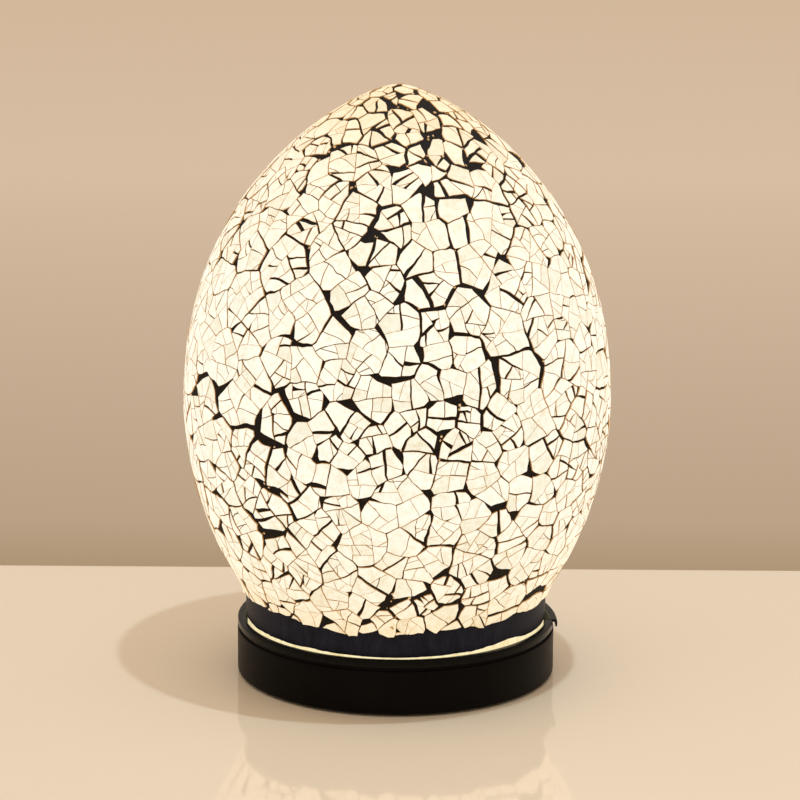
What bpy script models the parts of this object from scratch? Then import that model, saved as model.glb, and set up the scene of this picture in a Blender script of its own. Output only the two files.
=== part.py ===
"""Mosaic glass table lamp: a chip-covered glass egg that lifts off a round black base with its bulb."""

import math

import bmesh
import bpy
import numpy as np
from mathutils import Vector

# Gaps and smallest distances
FIT = 0.0003  # left between pieces that touch or slide
WELD = 1e-7  # points nearer than this are one point

# Roundness of turned pieces
WIDE_STEPS = 40  # base pieces
EGG_STEPS = 32  # glass egg and the back of its chips
MID_STEPS = 20  # lampholder and bulb
SMALL_STEPS = 12  # screws and the cord entry
WIRE_SIDES = 6
NUT_SIDES = 6
SHARP_ANGLE = math.radians(32)  # edges bent more than this stay sharp

# Base cup and what closes it from below
CUP_RADIUS = 0.0794
LIP_WALL = 0.0012  # of the lip that carries the edging strip
CUP_DEPTH = 0.0064  # from the shoulder down to the deck
DECK_THICK = 0.0020
PLATE_THICK = 0.0020
FELT_THICK = 0.0012
FELT_WIDTH = 0.0160
FELT_INSET = 0.0060  # felt inside the base's edge
SCREW_CIRCLE = 0.0460  # radius on which the plate screws sit
SCREW_COUNT = 3
SCREW_HEAD_RADIUS = 0.0028
SCREW_HEAD_HEIGHT = 0.0014
SCREW_RADIUS = 0.0015
SCREW_LENGTH = 0.0090
BOSS_WALL = 0.0022

# Edging strip on the cup's lip
GROOVE_HEIGHT = 0.0018
GROOVE_DEPTH = 0.0012
STRIP_HEIGHT = 0.0037
STRIP_WIDTH = 0.0036
STRIP_ROOF = 0.0012
STRIP_END_ANGLE = math.radians(-6)  # where the strip's two ends meet, measured from +X
STRIP_SPLIT = math.radians(0.8)
STRIP_FLARE = 0.0021  # how far the free end stands off
STRIP_FLARE_ARC = math.radians(28)

# Cord entry in the rear wall
GROMMET_BORE = 0.0032
GROMMET_WALL = 0.0010
GROMMET_LIP = 0.0010  # flange beyond the neck
GROMMET_FLANGE = 0.0012

# Glass egg and neck
EGG_RADIUS = 0.1060  # widest, over the chips
EGG_RISE = 0.1604  # from the widest part to the tip
EGG_DROP = 0.1339  # from the widest part to where the curve would close below
TIP_POWER = 2.25  # how long the egg stays full above its widest part
TIP_ROUNDNESS = 1.42  # towards 1 is a pointed tip, 2 a round one
FOOT_POWER = 1.77
FOOT_ROUNDNESS = 2.20
NECK_ROOM = 0.0006  # between the neck band and the edging strip
NECK_LENGTH = 0.0281
GLASS_WALL = 0.0030
GASKET_THICK = 0.0015
GASKET_WIDTH = 0.0050
BAND_THICK = 0.0005
BARE_STRIP = 0.0009  # bare glass between the edging strip and the neck band

# Mosaic
SHARD_COUNT = 310
SHARD_SEED = 11
SHARD_SHAKE = 0.25  # how far a shard's middle strays, in spacings
SHARD_CORNER_DRAW = 0.3  # of a corner towards the middle of the shards that meet there
SHARD_NEAREST = 0.6  # least spacing to the fixed shards
TIP_CROWDING = 3.0  # how much more crowded the shards are at the tip
TIP_CROWDING_POWER = 3  # higher keeps the crowd nearer the tip
GOLDEN_ANGLE = math.pi * (3 - math.sqrt(5))
GROUT_DEPTH = 0.0010
GROUT_BED = 0.0012  # grout under its deepest line
GROUT_WIDTH = 0.0024
SHARD_MOST_SHRINK = 0.45  # of a small shard, towards its middle
EGG_ROWS_UP = 9
EGG_ROWS_DOWN = 4
EGG_SOLVE_STEPS = 40
EGG_MEASURE_STEPS = 400

# Lampholder and its stem
TUBE_BORE = 0.0036
TUBE_WALL = 0.0014
TUBE_GRIP = 0.0070  # thread inside the lampholder's cap
TUBE_TAIL = 0.0010  # thread below the nut
WASHER_RADIUS = 0.0100
WASHER_THICK = 0.0010
NUT_WALL = 0.0022  # from the thread to a flat
NUT_HEIGHT = 0.0040
STEM_WALL = 0.0015
STEM_LENGTH = 0.0220
HOLDER_ROOM = 0.0008  # round the screw sleeve
HOLDER_WALL = 0.0015
HOLDER_FOOT_RADIUS = 0.0110
HOLDER_FLOOR = 0.0020
HOLDER_SHOULDER = 0.0060
HOLDER_CAP_HEIGHT = 0.0170
CORE_LEDGE = 0.0030  # width of the ledges that hold the core
CORE_REACH = 0.0040  # core above the split between the holder's halves
CORE_SINK = 0.0040  # core below that split
HOLDER_SHELL_HEIGHT = 0.0280
HOLDER_LIP = 0.0012
SLEEVE_WALL = 0.0006
SLEEVE_HEIGHT = 0.0215
SLEEVE_FOOT = 0.0090  # inner radius of the sleeve's foot
CONTACT_RADIUS = 0.0040
CONTACT_THICK = 0.0014
TERMINAL_OFFSET = 0.0092
TERMINAL_RADIUS = 0.0013
TERMINAL_HEAD_RADIUS = 0.0024
TERMINAL_HEAD_HEIGHT = 0.0016
TERMINAL_LENGTH = 0.0050

# Screw-cap bulb
BULB_RADIUS = 0.0300
BULB_LENGTH = 0.1050
BULB_WALL = 0.0010
BULB_FOOT = 0.0200  # lower edge of the glass, inside the cap
BULB_COLLAR = 0.0030  # straight neck above the cap
BULB_ROWS = 4
BULB_CAP_RADIUS = 0.0131
BULB_CAP_WALL = 0.0005
BULB_CAP_TOP = 0.0270
BULB_CAP_FLARE = 0.0008
BULB_CAP_FLARE_HEIGHT = 0.0035
THREAD_CLEARANCE = 0.0005
PIP_RADIUS = 0.0046
PIP_HEIGHT = 0.0018
PIP_BOSS = 0.0030  # radius of the pip's stalk in the insulator
INSULATOR_HEIGHT = 0.0064
INSULATOR_TIP = 0.0010  # insulator's tip, beyond the pip
INSULATOR_RIM = 0.0020  # upstand inside the cap
PIP_STALK = 0.0020  # height of that stalk
ROD_RADIUS = 0.0024
ROD_FOOT = 0.0400  # height where the stem has narrowed to its rod
ROD_LENGTH = 0.0120
LEAD_RADIUS = 0.0005
LEAD_SPREAD = 0.0110
FILAMENT_Z = 0.0760
FILAMENT_RADIUS = 0.0006
FILAMENT_SAG = 0.0040
FILAMENT_POINTS = 9

# Radii and thicknesses that pieces share
CUP_WALL = LIP_WALL + GROOVE_DEPTH
CUP_EDGE = GROOVE_DEPTH / 2  # chamfer on the cup's outer edges
STRIP_EDGE = (GROOVE_DEPTH - FIT) / 2  # chamfer on the edging strip
CUP_INNER = CUP_RADIUS - CUP_WALL
LIP_OUTER = CUP_RADIUS - GROOVE_DEPTH
BOSS_RADIUS = SCREW_RADIUS + FIT + BOSS_WALL
GROMMET_NECK = GROMMET_BORE + GROMMET_WALL
GROMMET_RIM = GROMMET_NECK + GROMMET_LIP
NECK_RADIUS = CUP_RADIUS - STRIP_WIDTH - NECK_ROOM - BAND_THICK - FIT
SKIN = GROUT_DEPTH + GROUT_BED  # shards and grout together
GLASS_INSET = SKIN + FIT  # outer face of the glass, inside the chips' faces
TUBE_RADIUS = TUBE_BORE + TUBE_WALL
TUBE_HOLE = TUBE_RADIUS + FIT
SLEEVE_INNER = BULB_CAP_RADIUS + THREAD_CLEARANCE
SLEEVE_OUTER = SLEEVE_INNER + SLEEVE_WALL
LEDGE_INNER = SLEEVE_OUTER + HOLDER_ROOM
HOLDER_INNER = LEDGE_INNER + CORE_LEDGE
HOLDER_RADIUS = HOLDER_INNER + HOLDER_WALL
BULB_NECK = BULB_CAP_RADIUS - BULB_CAP_WALL - FIT

# Heights of the base, from the floor
CUP_BOTTOM = FELT_THICK
PLATE_BOTTOM = FELT_THICK + FIT
PLATE_TOP = PLATE_BOTTOM + PLATE_THICK
GROMMET_Z = PLATE_TOP + FIT + GROMMET_RIM
DECK_BOTTOM = GROMMET_Z + GROMMET_RIM + FIT
DECK_TOP = DECK_BOTTOM + DECK_THICK
SHOULDER = DECK_TOP + CUP_DEPTH
STRIP_BOTTOM = SHOULDER + GROOVE_HEIGHT
STRIP_TOP = STRIP_BOTTOM + STRIP_HEIGHT
LIP_TOP = STRIP_TOP - STRIP_ROOF - FIT
GASKET_BOTTOM = DECK_TOP + FIT
SEAT = GASKET_BOTTOM + GASKET_THICK + FIT  # lower edge of the glass neck

# Heights of the lampholder, from the floor
STEM_BOTTOM = DECK_TOP + FIT
HOLDER_BOTTOM = STEM_BOTTOM + STEM_LENGTH + FIT
HOLDER_SPLIT = HOLDER_BOTTOM + HOLDER_CAP_HEIGHT + FIT
CORE_TOP = HOLDER_SPLIT + CORE_REACH
CORE_BOTTOM = HOLDER_SPLIT - CORE_SINK
BULB_SEAT = CORE_TOP + FIT + CONTACT_THICK + FIT  # lowest point of the bulb

# Heights of the bulb, from its lowest point
BULB_THROAT = BULB_CAP_TOP + BULB_COLLAR  # where the neck starts to widen
ROD_TOP = ROD_FOOT + ROD_LENGTH

LOOKS = {
    # name: colour, roughness, metallic, transmission
    "satin_black": ((0.012, 0.011, 0.011), 0.38, 0.0, 0.0),
    "black_rubber": ((0.014, 0.013, 0.013), 0.55, 0.0, 0.0),
    "black_felt": ((0.020, 0.020, 0.022), 0.95, 0.0, 0.0),
    "zinc_steel": ((0.62, 0.62, 0.60), 0.32, 1.0, 0.0),
    "brass": ((0.78, 0.57, 0.24), 0.28, 1.0, 0.0),
    "white_ceramic": ((0.82, 0.80, 0.75), 0.30, 0.0, 0.0),
    "black_resin": ((0.020, 0.018, 0.017), 0.32, 0.0, 0.0),
    "shade_glass": ((0.96, 0.93, 0.84), 0.12, 0.0, 0.6),
    "cream_shards": ((0.93, 0.87, 0.72), 0.24, 0.0, 0.0),
    "navy_black_band": ((0.016, 0.016, 0.022), 0.60, 0.0, 0.0),
    "frosted_glass": ((0.98, 0.95, 0.88), 0.45, 0.0, 0.4),
    "clear_glass": ((0.95, 0.97, 0.96), 0.05, 0.0, 0.9),
    "bulb_aluminium": ((0.80, 0.79, 0.76), 0.30, 1.0, 0.0),
    "solder": ((0.58, 0.57, 0.56), 0.38, 1.0, 0.0),
    "tungsten": ((0.30, 0.29, 0.29), 0.40, 1.0, 0.0),
}


def look(name):
    """Material of that name, made once."""
    found = bpy.data.materials.get(name)
    if found:
        return found
    colour, roughness, metallic, transmission = LOOKS[name]
    material = bpy.data.materials.new(name)
    material.use_nodes = True
    shader = material.node_tree.nodes["Principled BSDF"]
    shader.inputs["Base Color"].default_value = (*colour, 1)
    shader.inputs["Roughness"].default_value = roughness
    shader.inputs["Metallic"].default_value = metallic
    shader.inputs["Transmission Weight"].default_value = transmission
    return material


def carrier(name, height):
    """Empty on the lamp's axis that carries a group of pieces."""
    empty = bpy.data.objects.new(name, None)
    empty.location.z = height
    bpy.context.scene.collection.objects.link(empty)
    return empty


def solid(name, bm, finish, parent, at=(0, 0, 0)):
    """Object made from a bmesh, smooth but for its sharp edges."""
    bmesh.ops.recalc_face_normals(bm, faces=bm.faces)
    mesh = bpy.data.meshes.new(name)
    bm.to_mesh(mesh)
    bm.free()
    mesh.shade_smooth()
    mesh.set_sharp_from_angle(angle=SHARP_ANGLE)
    mesh.materials.append(look(finish))
    made = bpy.data.objects.new(name, mesh)
    bpy.context.scene.collection.objects.link(made)
    made.parent = parent
    made.location = at
    return made


def revolve(outline, steps):
    """Bmesh turned about Z from a closed outline of (radius, height) points."""
    bm = bmesh.new()
    points = [bm.verts.new((radius, 0, height)) for radius, height in outline]
    sides = zip(points, points[1:] + points[:1])
    edges = [bm.edges.new(side) for side in sides if any(point.co.x > 0 for point in side)]
    bmesh.ops.spin(
        bm,
        geom=points + edges,
        axis=(0, 0, 1),
        angle=math.tau,
        steps=steps,
        use_merge=True,
    )
    bmesh.ops.remove_doubles(bm, verts=bm.verts, dist=WELD)
    return bm


def turned(name, outline, finish, parent, steps, at=(0, 0, 0)):
    return solid(name, revolve(outline, steps), finish, parent, at)


def ring(inner, outer, bottom, top):
    """Outline of a plain ring or tube."""
    return [(inner, bottom), (outer, bottom), (outer, top), (inner, top)]


def lofted(sections):
    """Bmesh skinned over sections with as many points each, with both ends closed."""
    bm = bmesh.new()
    loops = [[bm.verts.new(point) for point in section] for section in sections]
    for first, second in zip(loops, loops[1:]):
        for i in range(len(first)):
            bm.faces.new((first[i - 1], first[i], second[i], second[i - 1]))
    bm.faces.new(reversed(loops[0]))
    bm.faces.new(loops[-1])
    return bm


def wire(points, radius):
    """Bmesh of a round wire along points."""
    path = [Vector(point) for point in points]
    sections = []
    for i, centre in enumerate(path):
        along = (path[min(i + 1, len(path) - 1)] - path[max(i - 1, 0)]).normalized()
        turn = along.to_track_quat("Z", "Y").to_matrix()
        angles = [math.tau * k / WIRE_SIDES for k in range(WIRE_SIDES)]
        sections.append(
            [centre + turn @ Vector((radius * math.cos(a), radius * math.sin(a), 0)) for a in angles]
        )
    return lofted(sections)


def boolean(target, other, operation):
    """Joins or cuts target with other, which stays as a hidden guide."""
    step = target.modifiers.new(other.name, "BOOLEAN")
    step.operation = operation
    step.object = other
    step.solver = "EXACT"
    other.hide_render = True
    other.display_type = "WIRE"
    other.hide_set(True)


def peg(name, radius, bottom, top, parent, at=(0, 0, 0), steps=MID_STEPS):
    """Guide cylinder for a Boolean."""
    outline = [(0, bottom), (radius, bottom), (radius, top), (0, top)]
    return turned(name, outline, "zinc_steel", parent, steps, at)


def screw_places():
    angles = [math.pi / 2 + math.tau * (i + 0.5) / SCREW_COUNT for i in range(SCREW_COUNT)]
    return [(SCREW_CIRCLE * math.cos(a), SCREW_CIRCLE * math.sin(a), 0) for a in angles]


def screw_outline(grow, length):
    """Countersunk screw, head down, or the hole for it when grown by a clearance."""
    return [
        (0, PLATE_BOTTOM),
        (SCREW_HEAD_RADIUS + grow, PLATE_BOTTOM),
        (SCREW_RADIUS + grow, PLATE_BOTTOM + SCREW_HEAD_HEIGHT),
        (SCREW_RADIUS + grow, PLATE_BOTTOM + length + grow),
        (0, PLATE_BOTTOM + length + grow),
    ]


def screw_hole(name, at, parent):
    """Guide that cuts a countersunk hole and runs out below the plate."""
    head = SCREW_HEAD_RADIUS + FIT
    outline = [(0, PLATE_BOTTOM - PLATE_THICK), (head, PLATE_BOTTOM - PLATE_THICK)]
    outline += screw_outline(FIT, SCREW_LENGTH)[1:]
    return turned(name, outline, "zinc_steel", parent, SMALL_STEPS, at)


def base_cup(parent):
    outline = [
        (CUP_RADIUS - CUP_EDGE, CUP_BOTTOM),
        (CUP_RADIUS, CUP_BOTTOM + CUP_EDGE),
        (CUP_RADIUS, SHOULDER - CUP_EDGE),
        (CUP_RADIUS - CUP_EDGE, SHOULDER),
        (LIP_OUTER, SHOULDER),
        (LIP_OUTER, LIP_TOP),
        (CUP_INNER, LIP_TOP),
        (CUP_INNER, DECK_TOP),
        (TUBE_HOLE, DECK_TOP),
        (TUBE_HOLE, DECK_BOTTOM),
        (CUP_INNER, DECK_BOTTOM),
        (CUP_INNER, CUP_BOTTOM),
    ]
    cup = turned("base_cup", outline, "satin_black", parent, WIDE_STEPS)
    for i, at in enumerate(screw_places(), start=1):
        boss = peg(f"boss_{i}", BOSS_RADIUS, PLATE_TOP + FIT, DECK_TOP - FIT, parent, at, SMALL_STEPS)
        boolean(cup, boss, "UNION")
    for i, at in enumerate(screw_places(), start=1):
        boolean(cup, screw_hole(f"boss_hole_{i}", at, parent), "DIFFERENCE")
    hole = peg("grommet_hole", GROMMET_NECK + FIT, -CUP_WALL, CUP_WALL, parent, steps=SMALL_STEPS)
    hole.location = (0, CUP_RADIUS - CUP_WALL / 2, GROMMET_Z)
    hole.rotation_euler.x = -math.pi / 2
    boolean(cup, hole, "DIFFERENCE")
    return cup


def base_plate(parent):
    outline = [
        (0, PLATE_BOTTOM),
        (CUP_INNER - FIT, PLATE_BOTTOM),
        (CUP_INNER - FIT, PLATE_TOP),
        (0, PLATE_TOP),
    ]
    plate = turned("base_plate", outline, "zinc_steel", parent, WIDE_STEPS)
    for i, at in enumerate(screw_places(), start=1):
        boolean(plate, screw_hole(f"plate_hole_{i}", at, parent), "DIFFERENCE")
    return plate


def plate_screws(parent):
    for i, at in enumerate(screw_places(), start=1):
        outline = screw_outline(0, SCREW_LENGTH)
        turned(f"plate_screw_{i}", outline, "zinc_steel", parent, SMALL_STEPS, at)


def felt_ring(parent):
    outer = CUP_RADIUS - FELT_INSET
    turned("felt_ring", ring(outer - FELT_WIDTH, outer, 0, FELT_THICK), "black_felt", parent, WIDE_STEPS)


def strip_section(angle, lift):
    """L-section of the edging strip at an angle, standing off by lift."""
    outer = CUP_RADIUS + lift
    inner = outer - STRIP_WIDTH
    leg = LIP_OUTER + FIT + lift
    corners = [
        (leg, STRIP_BOTTOM),
        (outer - STRIP_EDGE, STRIP_BOTTOM),
        (outer, STRIP_BOTTOM + STRIP_EDGE),
        (outer, STRIP_TOP - STRIP_EDGE),
        (outer - STRIP_EDGE, STRIP_TOP),
        (inner, STRIP_TOP),
        (inner, STRIP_TOP - STRIP_ROOF),
        (leg, STRIP_TOP - STRIP_ROOF),
    ]
    return [(r * math.cos(angle), r * math.sin(angle), z) for r, z in corners]


def rim_strip(parent):
    """Split strip: it starts past the join, runs round, and its last stretch flares off the lip."""
    start = STRIP_END_ANGLE - STRIP_SPLIT
    sweep = math.tau - STRIP_SPLIT
    sections = []
    for i in range(WIDE_STEPS + 1):
        turn = sweep * i / WIDE_STEPS
        flare = max(0, 1 - (sweep - turn) / STRIP_FLARE_ARC)
        sections.append(strip_section(start - turn, STRIP_FLARE * flare**2))
    solid("rim_strip", lofted(sections), "black_rubber", parent)


def cord_grommet(parent):
    """Flanged bushing on the rear wall's axis: outer flange, neck through the wall, inner flange."""
    wall_inside = math.sqrt(CUP_INNER**2 - GROMMET_RIM**2) - FIT
    wall_outside = CUP_RADIUS + FIT
    outline = [
        (GROMMET_BORE, wall_inside - GROMMET_FLANGE),
        (GROMMET_RIM, wall_inside - GROMMET_FLANGE),
        (GROMMET_RIM, wall_inside),
        (GROMMET_NECK, wall_inside),
        (GROMMET_NECK, wall_outside),
        (GROMMET_RIM, wall_outside),
        (GROMMET_RIM - GROMMET_FLANGE / 2, wall_outside + GROMMET_FLANGE),
        (GROMMET_BORE, wall_outside + GROMMET_FLANGE),
    ]
    grommet = turned("cord_grommet", outline, "black_rubber", parent, SMALL_STEPS, (0, 0, GROMMET_Z))
    grommet.rotation_euler.x = -math.pi / 2


def seat_gasket(parent):
    outer = CUP_INNER - FIT
    outline = ring(outer - GASKET_WIDTH - GLASS_WALL, outer, GASKET_BOTTOM, GASKET_BOTTOM + GASKET_THICK)
    turned("seat_gasket", outline, "black_rubber", parent, WIDE_STEPS)


def egg_radius(height, inset):
    """Radius of the egg at a height from its widest part, inset from the chips' faces."""
    widest = EGG_RADIUS - inset
    if height >= 0:
        share = min(1, height / (EGG_RISE - inset))
        return widest * (1 - share**TIP_POWER) ** (1 / TIP_ROUNDNESS)
    share = min(1, -height / (EGG_DROP - inset))
    return widest * (1 - share**FOOT_POWER) ** (1 / FOOT_ROUNDNESS)


def egg_drop(radius, inset):
    """How far below its widest part the egg has narrowed to a radius."""
    share = (1 - (radius / (EGG_RADIUS - inset)) ** FOOT_ROUNDNESS) ** (1 / FOOT_POWER)
    return share * (EGG_DROP - inset)


# Heights of the shade, from the neck's lower edge
WAIST = NECK_LENGTH + egg_drop(NECK_RADIUS, GLASS_INSET)  # widest part of the egg
MOSAIC_EDGE = WAIST - egg_drop(NECK_RADIUS + FIT, SKIN)  # where the shards end above the neck
EGG_MIDDLE = Vector((0, 0, WAIST))


def egg_outline(inset, lowest):
    """(radius, height) points up the egg, from a depth below its widest part to its tip."""
    rise = EGG_RISE - inset
    heights = [-lowest * (1 - i / EGG_ROWS_DOWN) for i in range(EGG_ROWS_DOWN)]
    heights += [rise * math.sin(math.pi / 2 * i / EGG_ROWS_UP) for i in range(EGG_ROWS_UP)]
    points = [(egg_radius(height, inset), WAIST + height) for height in heights]
    return points + [(0, WAIST + rise)]


def glass_shell(parent):
    """One wall, up the outside from the neck's edge to the tip and down the inside."""
    hollow = GLASS_INSET + GLASS_WALL
    throat = NECK_RADIUS - GLASS_WALL
    outside = egg_outline(GLASS_INSET, egg_drop(NECK_RADIUS, GLASS_INSET))
    inside = egg_outline(hollow, egg_drop(throat, hollow))
    outline = [(NECK_RADIUS, 0), *outside, *reversed(inside), (throat, 0)]
    turned("glass_shell", outline, "shade_glass", parent, EGG_STEPS)


def neck_band(parent):
    inner = NECK_RADIUS + FIT
    outline = ring(inner, inner + BAND_THICK, STRIP_TOP + BARE_STRIP - SEAT, MOSAIC_EDGE - FIT)
    turned("neck_band", outline, "navy_black_band", parent, EGG_STEPS)


def on_egg(point, inset):
    """Where a ray from the middle of the egg's widest part through a point meets the egg."""
    ray = (point - EGG_MIDDLE).normalized()
    near, far = 0, EGG_RADIUS + EGG_RISE
    for _ in range(EGG_SOLVE_STEPS):
        reach = (near + far) / 2
        height = reach * ray.z
        beyond = height > EGG_RISE - inset or -height > EGG_DROP - inset
        if beyond or reach * math.hypot(ray.x, ray.y) > egg_radius(height, inset):
            far = reach
        else:
            near = reach
    return EGG_MIDDLE + ray * near


def shard_rows():
    """Heights from the widest part that spread the shards evenly, but closer near the tip, and their spacings."""
    heights = np.linspace(EGG_RISE, -EGG_DROP, EGG_MEASURE_STEPS)
    radii = np.array([egg_radius(height, 0) for height in heights])
    crowding = 1 + TIP_CROWDING * np.maximum(heights / EGG_RISE, 0) ** TIP_CROWDING_POWER
    slants = np.hypot(np.diff(radii), np.diff(heights))
    strips = math.pi * slants * (radii[1:] + radii[:-1]) * crowding[1:]
    running = np.insert(np.cumsum(strips), 0, 0)
    share = running[-1] / SHARD_COUNT
    places = np.interp((np.arange(SHARD_COUNT) + 0.5) * share, running, heights)
    return places, np.sqrt(share / np.interp(-places, -heights, crowding))


def shard_seeds():
    """Middles of the shards: four round the widest part, the tip, and a spiral of shaken ones between them."""
    random = np.random.default_rng(SHARD_SEED)
    quarters = [math.tau * i / 4 for i in range(4)]
    fixed = [Vector((EGG_RADIUS * math.cos(a), EGG_RADIUS * math.sin(a), WAIST)) for a in quarters]
    fixed.append(Vector((0, 0, WAIST + EGG_RISE)))
    seeds = list(fixed)
    for i, (height, spacing) in enumerate(zip(*shard_rows())):
        radius, angle = egg_radius(height, 0), GOLDEN_ANGLE * i
        shake = Vector(random.uniform(-1, 1, 3)) * SHARD_SHAKE * spacing
        place = Vector((radius * math.cos(angle), radius * math.sin(angle), WAIST + height))
        seed = on_egg(place + shake, 0)
        if min((seed - other).length for other in fixed) > SHARD_NEAREST * spacing:
            seeds.append(seed)
    return seeds


def faces_round(vertex):
    """Faces round a vertex, each next to the one before."""
    loop = vertex.link_loops[0]
    found = []
    for _ in vertex.link_loops:
        found.append(loop.face)
        loop = loop.link_loop_prev.link_loop_radial_next
    return found


def shard_faces(bm, seed, outline, grout_line):
    """Raised face of one shard and the slopes down to the grout line round it."""
    middles = [(a + b) / 2 for a, b in zip(outline, outline[1:] + outline[:1])]
    room = min((middle - seed).length for middle in middles)
    shrink = min(GROUT_WIDTH / 2 / room, SHARD_MOST_SHRINK)
    rim = [bm.verts.new(on_egg(corner.lerp(seed, shrink), 0)) for corner in outline]
    top = bm.verts.new(seed)
    for i in range(len(outline)):
        bm.faces.new((top, rim[i - 1], rim[i]))
        bm.faces.new((rim[i], rim[i - 1], grout_line[i - 1], grout_line[i]))


def shard_corner(face):
    """Corner of the three shards whose directions a face of the hull joins."""
    between = face.calc_center_median().normalized()
    return on_egg(EGG_MIDDLE + face.normal.lerp(between, SHARD_CORNER_DRAW), 0)


def shards():
    """Bmesh of the whole egg tiled with shards: a hull over their directions gives the corners between them."""
    hull = bmesh.new()
    for seed in shard_seeds():
        hull.verts.new((seed - EGG_MIDDLE).normalized())
    bmesh.ops.convex_hull(hull, input=hull.verts)
    bmesh.ops.recalc_face_normals(hull, faces=hull.faces)
    bm = bmesh.new()
    corners = {face: shard_corner(face) for face in hull.faces}
    grout = {face: bm.verts.new(on_egg(corner, GROUT_DEPTH)) for face, corner in corners.items()}
    for vertex in hull.verts:
        around = faces_round(vertex)
        outline = [corners[face] for face in around]
        seed = on_egg(EGG_MIDDLE + vertex.co, 0)
        shard_faces(bm, seed, outline, [grout[face] for face in around])
    hull.free()
    return bm


def mosaic_skin(parent):
    """Shards over the egg, cut to a shell by the glass inside and ended above the neck."""
    skin = solid("mosaic_skin", shards(), "cream_shards", parent)
    inside = egg_outline(SKIN, egg_drop(NECK_RADIUS + FIT, SKIN))
    below = WAIST - EGG_RISE
    outline = [(0, below), (EGG_RADIUS + SKIN, below), (EGG_RADIUS + SKIN, MOSAIC_EDGE), *inside]
    boolean(skin, turned("mosaic_hollow", outline, "shade_glass", parent, EGG_STEPS), "DIFFERENCE")


def threaded_tube(parent):
    clamp = FIT + WASHER_THICK + FIT + NUT_HEIGHT + TUBE_TAIL
    outline = ring(TUBE_BORE, TUBE_RADIUS, DECK_BOTTOM - clamp, HOLDER_BOTTOM + TUBE_GRIP)
    turned("threaded_tube", outline, "zinc_steel", parent, MID_STEPS)


def tube_fixings(parent):
    """Washer and nut under the deck, and the spacer above it."""
    washer_top = DECK_BOTTOM - FIT
    washer = ring(TUBE_HOLE, WASHER_RADIUS, washer_top - WASHER_THICK, washer_top)
    turned("tube_washer", washer, "zinc_steel", parent, MID_STEPS)
    nut_top = washer_top - WASHER_THICK - FIT
    corner = (TUBE_HOLE + NUT_WALL) / math.cos(math.pi / NUT_SIDES)
    nut = peg("tube_nut", corner, nut_top - NUT_HEIGHT, nut_top, parent, steps=NUT_SIDES)
    bore = peg("nut_bore", TUBE_HOLE, nut_top - 2 * NUT_HEIGHT, nut_top + NUT_HEIGHT, parent)
    boolean(nut, bore, "DIFFERENCE")
    spacer = ring(TUBE_HOLE, TUBE_HOLE + STEM_WALL, STEM_BOTTOM, STEM_BOTTOM + STEM_LENGTH)
    turned("stem_spacer", spacer, "satin_black", parent, MID_STEPS)


def holder_cap(parent):
    top = HOLDER_BOTTOM + HOLDER_CAP_HEIGHT
    ledge = CORE_BOTTOM - FIT
    outline = [
        (TUBE_HOLE, HOLDER_BOTTOM),
        (HOLDER_FOOT_RADIUS, HOLDER_BOTTOM),
        (HOLDER_RADIUS, HOLDER_BOTTOM + HOLDER_SHOULDER),
        (HOLDER_RADIUS, top),
        (HOLDER_INNER, top),
        (HOLDER_INNER, ledge),
        (LEDGE_INNER, ledge),
        (LEDGE_INNER, HOLDER_BOTTOM + HOLDER_SHOULDER),
        (HOLDER_FOOT_RADIUS - HOLDER_WALL, HOLDER_BOTTOM + HOLDER_FLOOR),
        (TUBE_HOLE, HOLDER_BOTTOM + HOLDER_FLOOR),
    ]
    turned("holder_cap", outline, "black_resin", parent, MID_STEPS)


def terminal_places():
    return [(side * TERMINAL_OFFSET, 0, CORE_BOTTOM) for side in (1, -1)]


def holder_core(parent):
    radius = HOLDER_INNER - FIT
    outline = [(0, CORE_BOTTOM), (radius, CORE_BOTTOM), (radius, CORE_TOP), (0, CORE_TOP)]
    core = turned("holder_core", outline, "white_ceramic", parent, MID_STEPS)
    depth = TERMINAL_LENGTH + FIT
    for i, at in enumerate(terminal_places(), start=1):
        hole = peg(f"terminal_hole_{i}", TERMINAL_RADIUS + FIT, -depth, depth, parent, at, SMALL_STEPS)
        boolean(core, hole, "DIFFERENCE")


def terminal_screws(parent):
    outline = [
        (0, -FIT - TERMINAL_HEAD_HEIGHT),
        (TERMINAL_HEAD_RADIUS, -FIT - TERMINAL_HEAD_HEIGHT),
        (TERMINAL_HEAD_RADIUS, -FIT),
        (TERMINAL_RADIUS, -FIT),
        (TERMINAL_RADIUS, TERMINAL_LENGTH),
        (0, TERMINAL_LENGTH),
    ]
    for i, at in enumerate(terminal_places(), start=1):
        turned(f"terminal_screw_{i}", outline, "brass", parent, SMALL_STEPS, at)


def holder_shell(parent):
    top = HOLDER_SPLIT + HOLDER_SHELL_HEIGHT
    ledge = CORE_TOP + FIT
    outline = [
        (HOLDER_INNER, HOLDER_SPLIT),
        (HOLDER_RADIUS, HOLDER_SPLIT),
        (HOLDER_RADIUS, top - 2 * HOLDER_LIP),
        (HOLDER_RADIUS + HOLDER_LIP, top - HOLDER_LIP),
        (HOLDER_RADIUS + HOLDER_LIP, top),
        (LEDGE_INNER, top),
        (LEDGE_INNER, ledge),
        (HOLDER_INNER, ledge),
    ]
    turned("holder_shell", outline, "black_resin", parent, MID_STEPS)


def screw_sleeve(parent):
    foot = CORE_TOP + FIT
    top = foot + SLEEVE_HEIGHT
    outline = [
        (SLEEVE_FOOT, foot),
        (SLEEVE_OUTER, foot),
        (SLEEVE_OUTER, top),
        (SLEEVE_INNER, top),
        (SLEEVE_INNER, foot + SLEEVE_WALL),
        (SLEEVE_FOOT, foot + SLEEVE_WALL),
    ]
    turned("screw_sleeve", outline, "brass", parent, MID_STEPS)


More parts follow.
